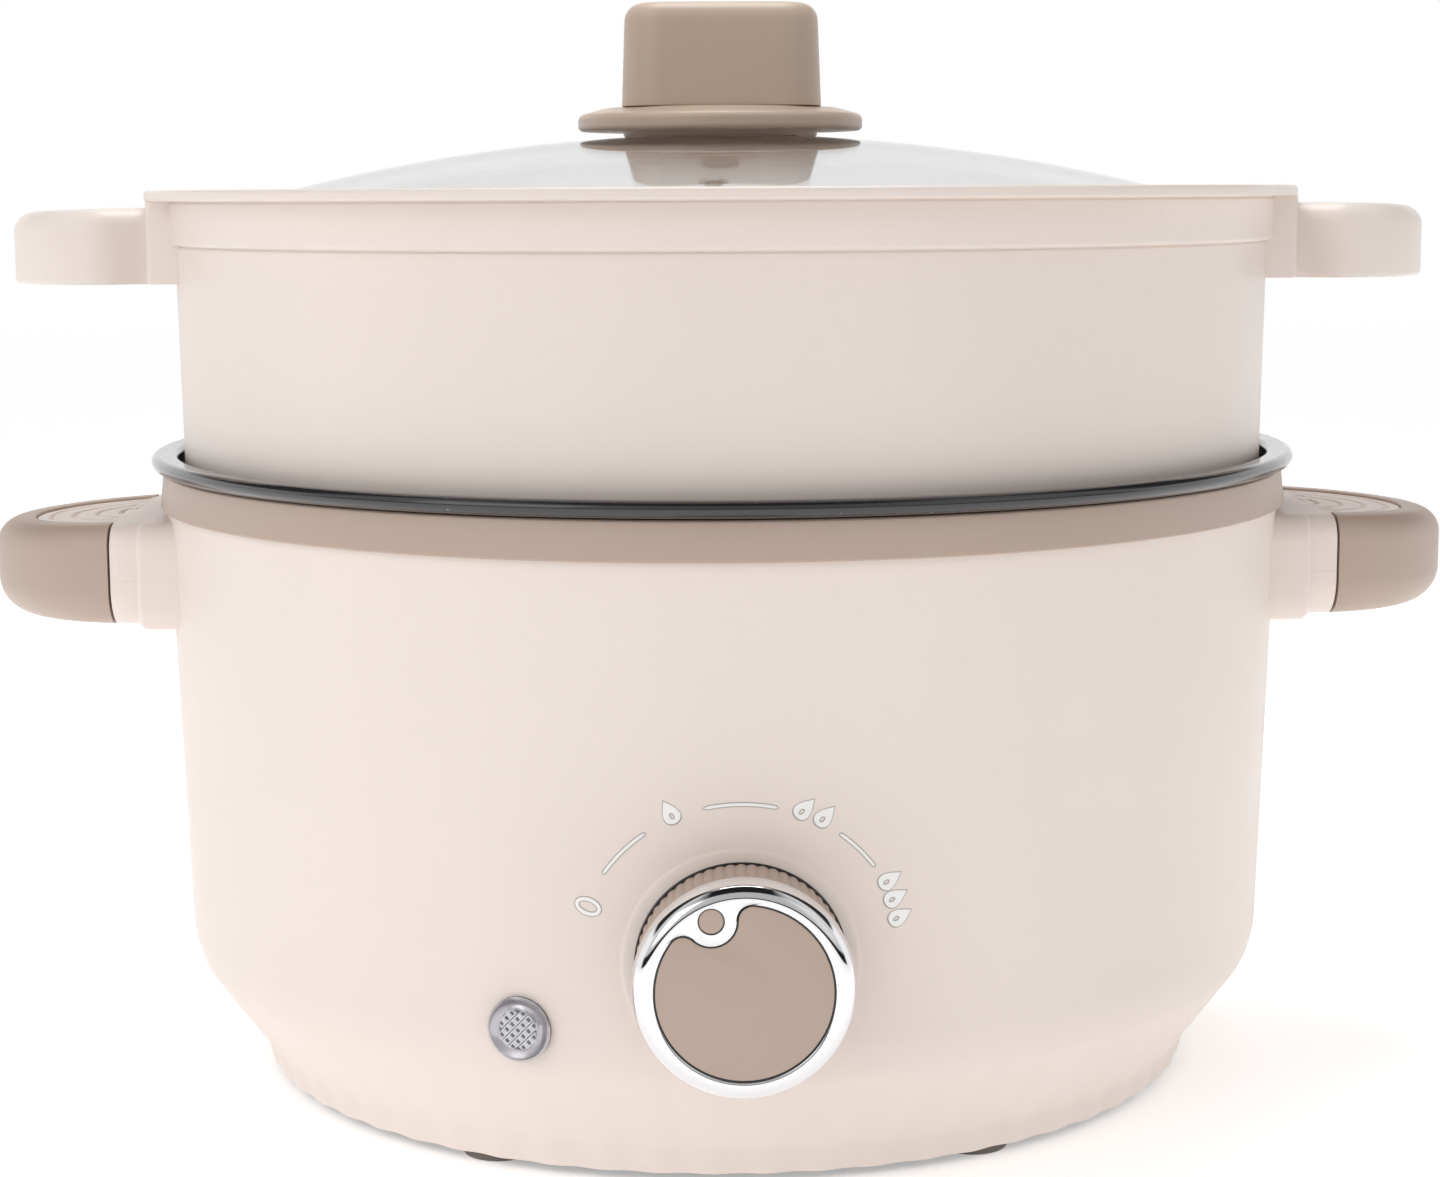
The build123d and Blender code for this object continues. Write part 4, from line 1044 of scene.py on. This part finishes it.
def waffle(radius, step, low, high):
    """A round field of raised square frames that stand on their corners, apart by narrow grooves."""
    tiles = []
    count = ceil(radius / step) + 1
    for row in range(-count, count + 1):
        for column in range(-count, count + 1):
            centre = Vector((row * step, column * step))
            if (row + column) % 2 or centre.length > radius:
                continue
            loops = []
            for share, z in ((0.9, low), (0.84, high), (0.56, high), (0.5, low)):
                corners = [centre + Vector(arm) * step * share for arm in CORNERS]
                loops.append(at_height([kept_within(corner, radius) for corner in corners], z))
            tiles.append(skin(loops, ring=True))
    return tiles


# ---- power inlet

def inlet_pieces():
    """The socket's levels run from its back round the flange and down into the recess."""
    half_width, half_height = INLET_HIGH.x, (INLET_HIGH.z - INLET_LOW.z) / 2
    front, back = INLET_HIGH.y, INLET_LOW.y
    levels = (
        (back, 14.5, 10.5, 1.5), (146.05, 14.5, 10.5, 1.5), (146.05, half_width, half_height, 6),
        (front - 0.6, half_width, half_height, 6),
        (front - 0.17, half_width - 0.17, half_height - 0.17, 5.8),
        (front, half_width - 0.7, half_height - 0.7, 5.4), (front, 13.6, 9.8, 2.4),
        (front - 0.9, 12.5, 8.7, 1.8), (front - 1.4, 12.3, 8.5, 1.8), (front - 18, 12.2, 8.4, 1.8),
    )
    loops = [
        [(x, y, INLET_Z + z) for x, z in rounded_rectangle(half_x, half_z, radius)]
        for y, half_x, half_z, radius in levels
    ]
    piece("inlet_socket", [skin(loops)], "base", "black_plastic", ["power_inlet"])
    head = rounded([(0, 0), (3.2, 0), (3.2, 0.7, 0.2), (2.4, 1.5, 0.7), (0, 1.6)], closed=False)
    shapes, slots = [], []
    facing = rotated(-QUARTER_TURN, 4, "X")
    for x in (-INLET_SCREW_REACH, INLET_SCREW_REACH):
        seat = moved((x, front - 0.02, INLET_Z)) @ facing
        shapes.append(placed(turned(head, 40), seat))
        shapes.append(placed(tube(0, 1.25, -8, 0.1, 20), seat))
        for turn in (0.4, 0.4 + QUARTER_TURN):
            blade = seat @ rotated(turn, 4, "Z")
            slots.append(placed(box_shape((-1.8, -0.3, 0.7), (1.8, 0.3, 3)), blade))
    piece("inlet_screw_heads", shapes, "base", "steel", ["inlet_screws"], cut=slots)


# ---- the steamer

def steamer_wall():
    section = rounded([
        (139.1, STEAMER_FOOT, 0.5), (141.3, STEAMER_FOOT, 0.8), (142.3, 215.6, 0.2), (141.8, 216.3, 0.2),
        (144.2, 216.3, 0.9), (144.2, 226.6, 0.2), (143.6, 227.3, 0.2), (FLANGE_RADIUS, 227.3, 0.6),
        (FLANGE_RADIUS, FLANGE_TOP, 1.1),
        (142.0, FLANGE_TOP, 0.9), (142.0, 218.5, 0.5), (140.1, 218.5, 0.9), (139.25, 158.8, 2.0),
        (137.0, 158.8), (137.0, 156.5), (139.1, 156.5, 0.5),
    ])
    piece("steamer_wall", [turned(section)], "steamer", "steamer_plastic", ["steamer_basket"])


def steamer_floor():
    plate = tube(0, 138.2, 156.5, 158.9, 120)
    hole = turned([(0, 155), (3.0, 155), (3.0, 158.3), (3.7, 159.1), (3.7, 160), (0, 160)], 20)
    holes = [hole]
    for ring in range(1, HOLE_RINGS + 1):
        for x, y in circle(HOLE_PITCH * ring, 6 * ring):
            holes.append(placed(hole, moved((x, -y, 0))))
    piece("steamer_floor", [plate], "steamer", "steamer_plastic", ["steamer_basket"], cut=holes)


def tab_plan():
    """Half of a tab's edge from the wall to its tip."""
    neck = [(140.0, 35.0), (TAB_ROOT, 35.0), (147.5, 35.3), (150.0, 36.8), (153.0, 38.8)]
    curve = [Vector(p) for p in neck]
    for turn in quarter(24):
        x = TAB_WIDEST + (TAB_TIP - TAB_WIDEST) * sin(turn) ** 0.9
        curve.append(Vector((x, TAB_HALF_WIDTH * cos(turn) ** 0.9)))
    return curve


def tab_loop(inset, z):
    """A tab's whole edge, moved inwards, at a height. Its ends follow the steamer's wall."""
    half = tab_plan()
    whole = half + [Vector((p.x, -p.y)) for p in reversed(half[:-1])]
    made = []
    for i, point in enumerate(whole):
        if i in (0, len(whole) - 1):
            y = point.y - copysign(inset, point.y)
            made.append((wall_x(TAB_WALL_RADIUS, y), y, z))
            continue
        along = (whole[i + 1] - whole[i - 1]).normalized()
        inner = point + Vector((along.y, -along.x)) * inset
        made.append((inner.x, inner.y, z))
    return made


def tab_droop(point):
    """The tab's top falls a little towards its tip."""
    share = smooth_share(point.z, TAB_LOW + 6, TAB_HIGH)
    reach = max(0.0, point.x - TAB_WIDEST) / (TAB_TIP - TAB_WIDEST)
    return (point.x, point.y, point.z - TAB_DROOP * share * reach ** 2)


def steamer_tabs():
    """Each tab is a shell open below, which starts at its inner ceiling, and a block that roots it."""
    low, high, fillet = TAB_LOW, TAB_HIGH, TAB_FILLET
    levels = [(2.6, high - 2.6), (2.6, low + 0.3), (2.3, low), (TAB_EDGE, low)]
    for turn in quarter(4, first=1):
        levels.append((TAB_EDGE * (1 - sin(turn)), low + TAB_EDGE * (1 - cos(turn))))
    for turn in quarter(8):
        levels.append((fillet * (1 - cos(turn)), high - fillet + fillet * sin(turn)))
    shell = bent(skin([tab_loop(inset, z) for inset, z in levels]), tab_droop)
    half = TAB_ROOT_HALF_WIDTH
    root = skin([
        root_loop(half - 0.5, TAB_ROOT - 0.5, 1.0, low),
        root_loop(half - 0.1, TAB_ROOT - 0.1, 1.3, low + 0.15),
        root_loop(half, TAB_ROOT, 1.4, low + 0.5), root_loop(half, TAB_ROOT, 1.4, TAB_ROOT_TOP),
    ])
    for side, turn in SIDES:
        piece(f"steamer_tab_{side}", [turn(shell)], "steamer", "steamer_plastic", ["steamer_basket"])
        piece(f"tab_root_{side}", [turn(root)], "steamer", "steamer_plastic", ["steamer_basket"])


def root_loop(half_width, x_out, radius, z):
    """A plan of the block between the wall and a tab: straight sides, rounded outer corners."""
    outer = rounded([(120, -half_width), (x_out, -half_width, radius), (x_out, half_width, radius),
                     (120, half_width)], step=radians(18))
    wall = [(wall_x(TAB_WALL_RADIUS, y), y) for y in
            [half_width * (1 - 2 * k / 12) for k in range(13)]]
    return at_height(outer[1:-1] + wall, z)


# ---- the lid

def dome_z(radius):
    """Height of the glass's top surface at a radius."""
    return GLASS_CENTRE + sqrt(GLASS_SPHERE ** 2 - radius ** 2)


def glass_and_rim():
    radii = [GLASS_HOLE + (GLASS_EDGE - GLASS_HOLE) * k / 40 for k in range(41)]
    top = [(r, dome_z(r)) for r in radii]
    low = [(r, dome_z(r) - GLASS_THICKNESS) for r in reversed(radii)]
    edge_z = dome_z(GLASS_EDGE)
    edge = [(GLASS_EDGE, edge_z - 0.3), (GLASS_EDGE, edge_z - GLASS_THICKNESS + 0.3)]
    vent = tube(0, 2.6, 220, 260, 32)
    piece("glass_dome", [turned(top[:-1] + edge + low[1:])], "lid", "clear_glass", ["lid_glass"],
          cut=[placed(vent, VENT_PLACE)])
    over, under = 0.12, GLASS_THICKNESS + 0.12
    rim = rounded([
        (137.3, LID_SEAT, 0.3), (LID_RIM_RADIUS, LID_SEAT, 0.9), (LID_RIM_RADIUS, edge_z + 1.1, 1.0),
        (136.8, dome_z(136.8) + 0.75, 0.25), (136.8, dome_z(136.8) + over),
        (139.7, dome_z(139.7) + over), (139.7, dome_z(139.7) - under), (137.3, dome_z(137.3) - under),
    ])
    piece("steel_rim", [turned(rim)], "lid", "stainless", ["lid_rim"])


def vent_piece():
    level = dome_z(VENT_REACH) + 0.1
    collar = rounded([(1.9, level - 5.2), (2.4, level - 5.2), (2.4, level), (4.6, level, 0.2),
                      (4.4, level + 1.5, 0.6), (2.6, level + 1.7, 0.5), (1.9, level + 0.8)])
    piece("vent_grommet", [placed(turned(collar, 48), VENT_PLACE)], "lid", "stainless", ["vent_eyelet"])


def knob_pieces():
    """A rounded square block on a round brim, with a seat between the brim and the glass."""
    tall = KNOB_TOP - KNOB_BOTTOM
    taper, crown = KNOB_TAPER, KNOB_CROWN
    levels = [(0.35, 0.0), (0.08, 0.15), (0.0, 0.5)]
    for k in range(1, 9):
        rise = 0.5 + (tall - crown - 0.5) * k / 8
        levels.append((taper * rise / tall, rise))
    for turn in quarter(12, first=1):
        rise = tall - crown + crown * sin(turn)
        levels.append((taper * rise / tall + crown * (1 - cos(turn)), rise))
    loops = []
    for inset, rise in levels:
        half = KNOB_HALF - inset
        outline = rounded_rectangle(half, half, KNOB_CORNER - 0.7 * inset, 12)
        loops.append(at_height(outline, KNOB_BOTTOM + rise))
    piece("knob_block", [skin(loops)], "lid", "knob_plastic", ["lid_knob"])
    brim = rounded([
        (2.9, BRIM_EDGE), (BRIM_RADIUS, BRIM_EDGE, 1.3), (BRIM_RADIUS, BRIM_EDGE + 4.1, 1.9),
        (BRIM_RADIUS - 7, KNOB_BOTTOM, 12), (2.9, KNOB_BOTTOM + 0.05),
    ])
    seat = rounded([
        (SEAT_INNER, BRIM_EDGE + 0.1), (SEAT_INNER, dome_z(SEAT_INNER) + 0.2),
        (SEAT_OUTER, dome_z(SEAT_OUTER) + 0.2, 0.4), (SEAT_OUTER, BRIM_EDGE + 0.1),
    ])
    piece("knob_brim", [turned(brim)], "lid", "knob_plastic", ["knob_base"])
    piece("brim_skirt", [turned(seat)], "lid", "knob_plastic", ["knob_base"])


# ---- finishes of the CAD nodes that stay

def finish_cad_nodes():
    slots = {row["node"]: row["material_slot"] for row in frame["record"]["subparts"]}
    for name, node in frame["nodes"].items():
        if node.hide_render:
            continue
        node.data.materials.clear()
        node.data.materials.append(MATERIALS[slots[name]])


# ---- studio

def studio():
    """A white floor that glows a little, the surroundings, a wide soft sun and three soft lamps."""
    studio_world()
    half = FLOOR_HALF / MM
    corners = [Vector((x, y, 0)) for x, y in ((-half, -half), (half, -half), (half, half), (-half, half))]
    floor = raw_object("floor", [(corners, [(0, 1, 2, 3)])])
    floor.data.materials.append(plastic(
        "floor_paint", srgb(255, 255, 255), (0.7, 0.8), 200, 0.02, 0.005, Emission_Strength=FLOOR_GLOW))
    sun = add_lamp("sun", "SUN", SUN_PLACE, SUN_POWER)
    sun.data.angle = radians(SUN_ANGLE)
    sun.visible_glossy = False
    for name, place, size, power in LAMPS:
        add_lamp(name, "AREA", place, power).data.size = size


def add_lamp(name, kind, place, power):
    """A lamp aimed at the object and hidden from the camera."""
    lamp = new_object(name, bpy.data.lights.new(name, kind))
    lamp.data.energy = power
    lamp.location = place
    lamp.rotation_euler = (Vector(LAMP_AIM) - Vector(place)).to_track_quat("-Z", "Y").to_euler()
    lamp.visible_camera = False
    return lamp


def studio_world():
    """White behind, dimmer in front with a bright window on each side, and dark cards for the chrome."""
    world = bpy.data.worlds.new("studio")
    bpy.context.scene.world = world
    world.use_nodes = True
    sky = Nodes(world.node_tree)
    axes = sky.node("SeparateXYZ")
    sky.link(sky.node("TexCoord").outputs["Generated"], axes.inputs[0])
    rising, both = sky.ramp, sky.product
    across, back, up = (axes.outputs[name] for name in "XYZ")
    side = sky.maths("ABSOLUTE", across)
    front = rising(back, 0.0, -0.2)
    left = rising(across, -0.2, -0.4)
    right = rising(across, 0.3, 0.5)
    window = both(rising(up, 0.05, 0.15), rising(up, 0.8, 0.7))
    level = sky.maths("SUBTRACT", 1.0, both(front, FRONT_DIMMING))
    level = sky.maths("ADD", level, both(front, left, window, LEFT_WINDOW))
    level = sky.maths("ADD", level, both(front, right, window, RIGHT_WINDOW))
    strip = both(front, rising(up, -0.02, 0.0), rising(up, 0.13, 0.09))
    overhead = both(
        rising(side, 0.5, 0.35), rising(back, -0.75, -0.65), rising(back, 0.2, 0.0), rising(up, 0.7, 0.78))
    card = both(rising(back, -0.1, 0.1), rising(up, 0.33, 0.4), rising(side, 0.25, 0.35))
    dark = sky.maths("MAXIMUM", sky.maths("MAXIMUM", strip, overhead), card)
    level = both(level, sky.maths("SUBTRACT", 1.0, both(dark, CARD_DARKNESS)))
    sky.link(level, sky.tree.nodes["Background"].inputs["Color"])


def camera():
    data = bpy.data.cameras.new("camera")
    data.sensor_width = SENSOR_WIDTH
    data.lens = CAMERA_LENS
    made = new_object("camera", data)
    made.location = Vector(CAMERA_PLACE) * MM
    yaw, pitch, roll = (radians(turn) for turn in CAMERA_TURN)
    level = rotated(-yaw, 4, "Z") @ rotated(QUARTER_TURN - pitch, 4, "X")
    made.rotation_euler = (level @ rotated(roll, 4, "Z")).to_euler()
    bpy.context.scene.camera = made


camera()
studio()
housing_pieces()
dial_land()
trim_and_pot()
feet_pieces()
handle_pieces()
dial_pieces()
printed_marks()
lamp_pieces()
inlet_pieces()
steamer_wall()
steamer_floor()
steamer_tabs()
glass_and_rim()
vent_piece()
knob_pieces()
finish_cad_nodes()
bpy.context.scene.view_settings.view_transform = "Standard"

bpy.context.view_layer.update()
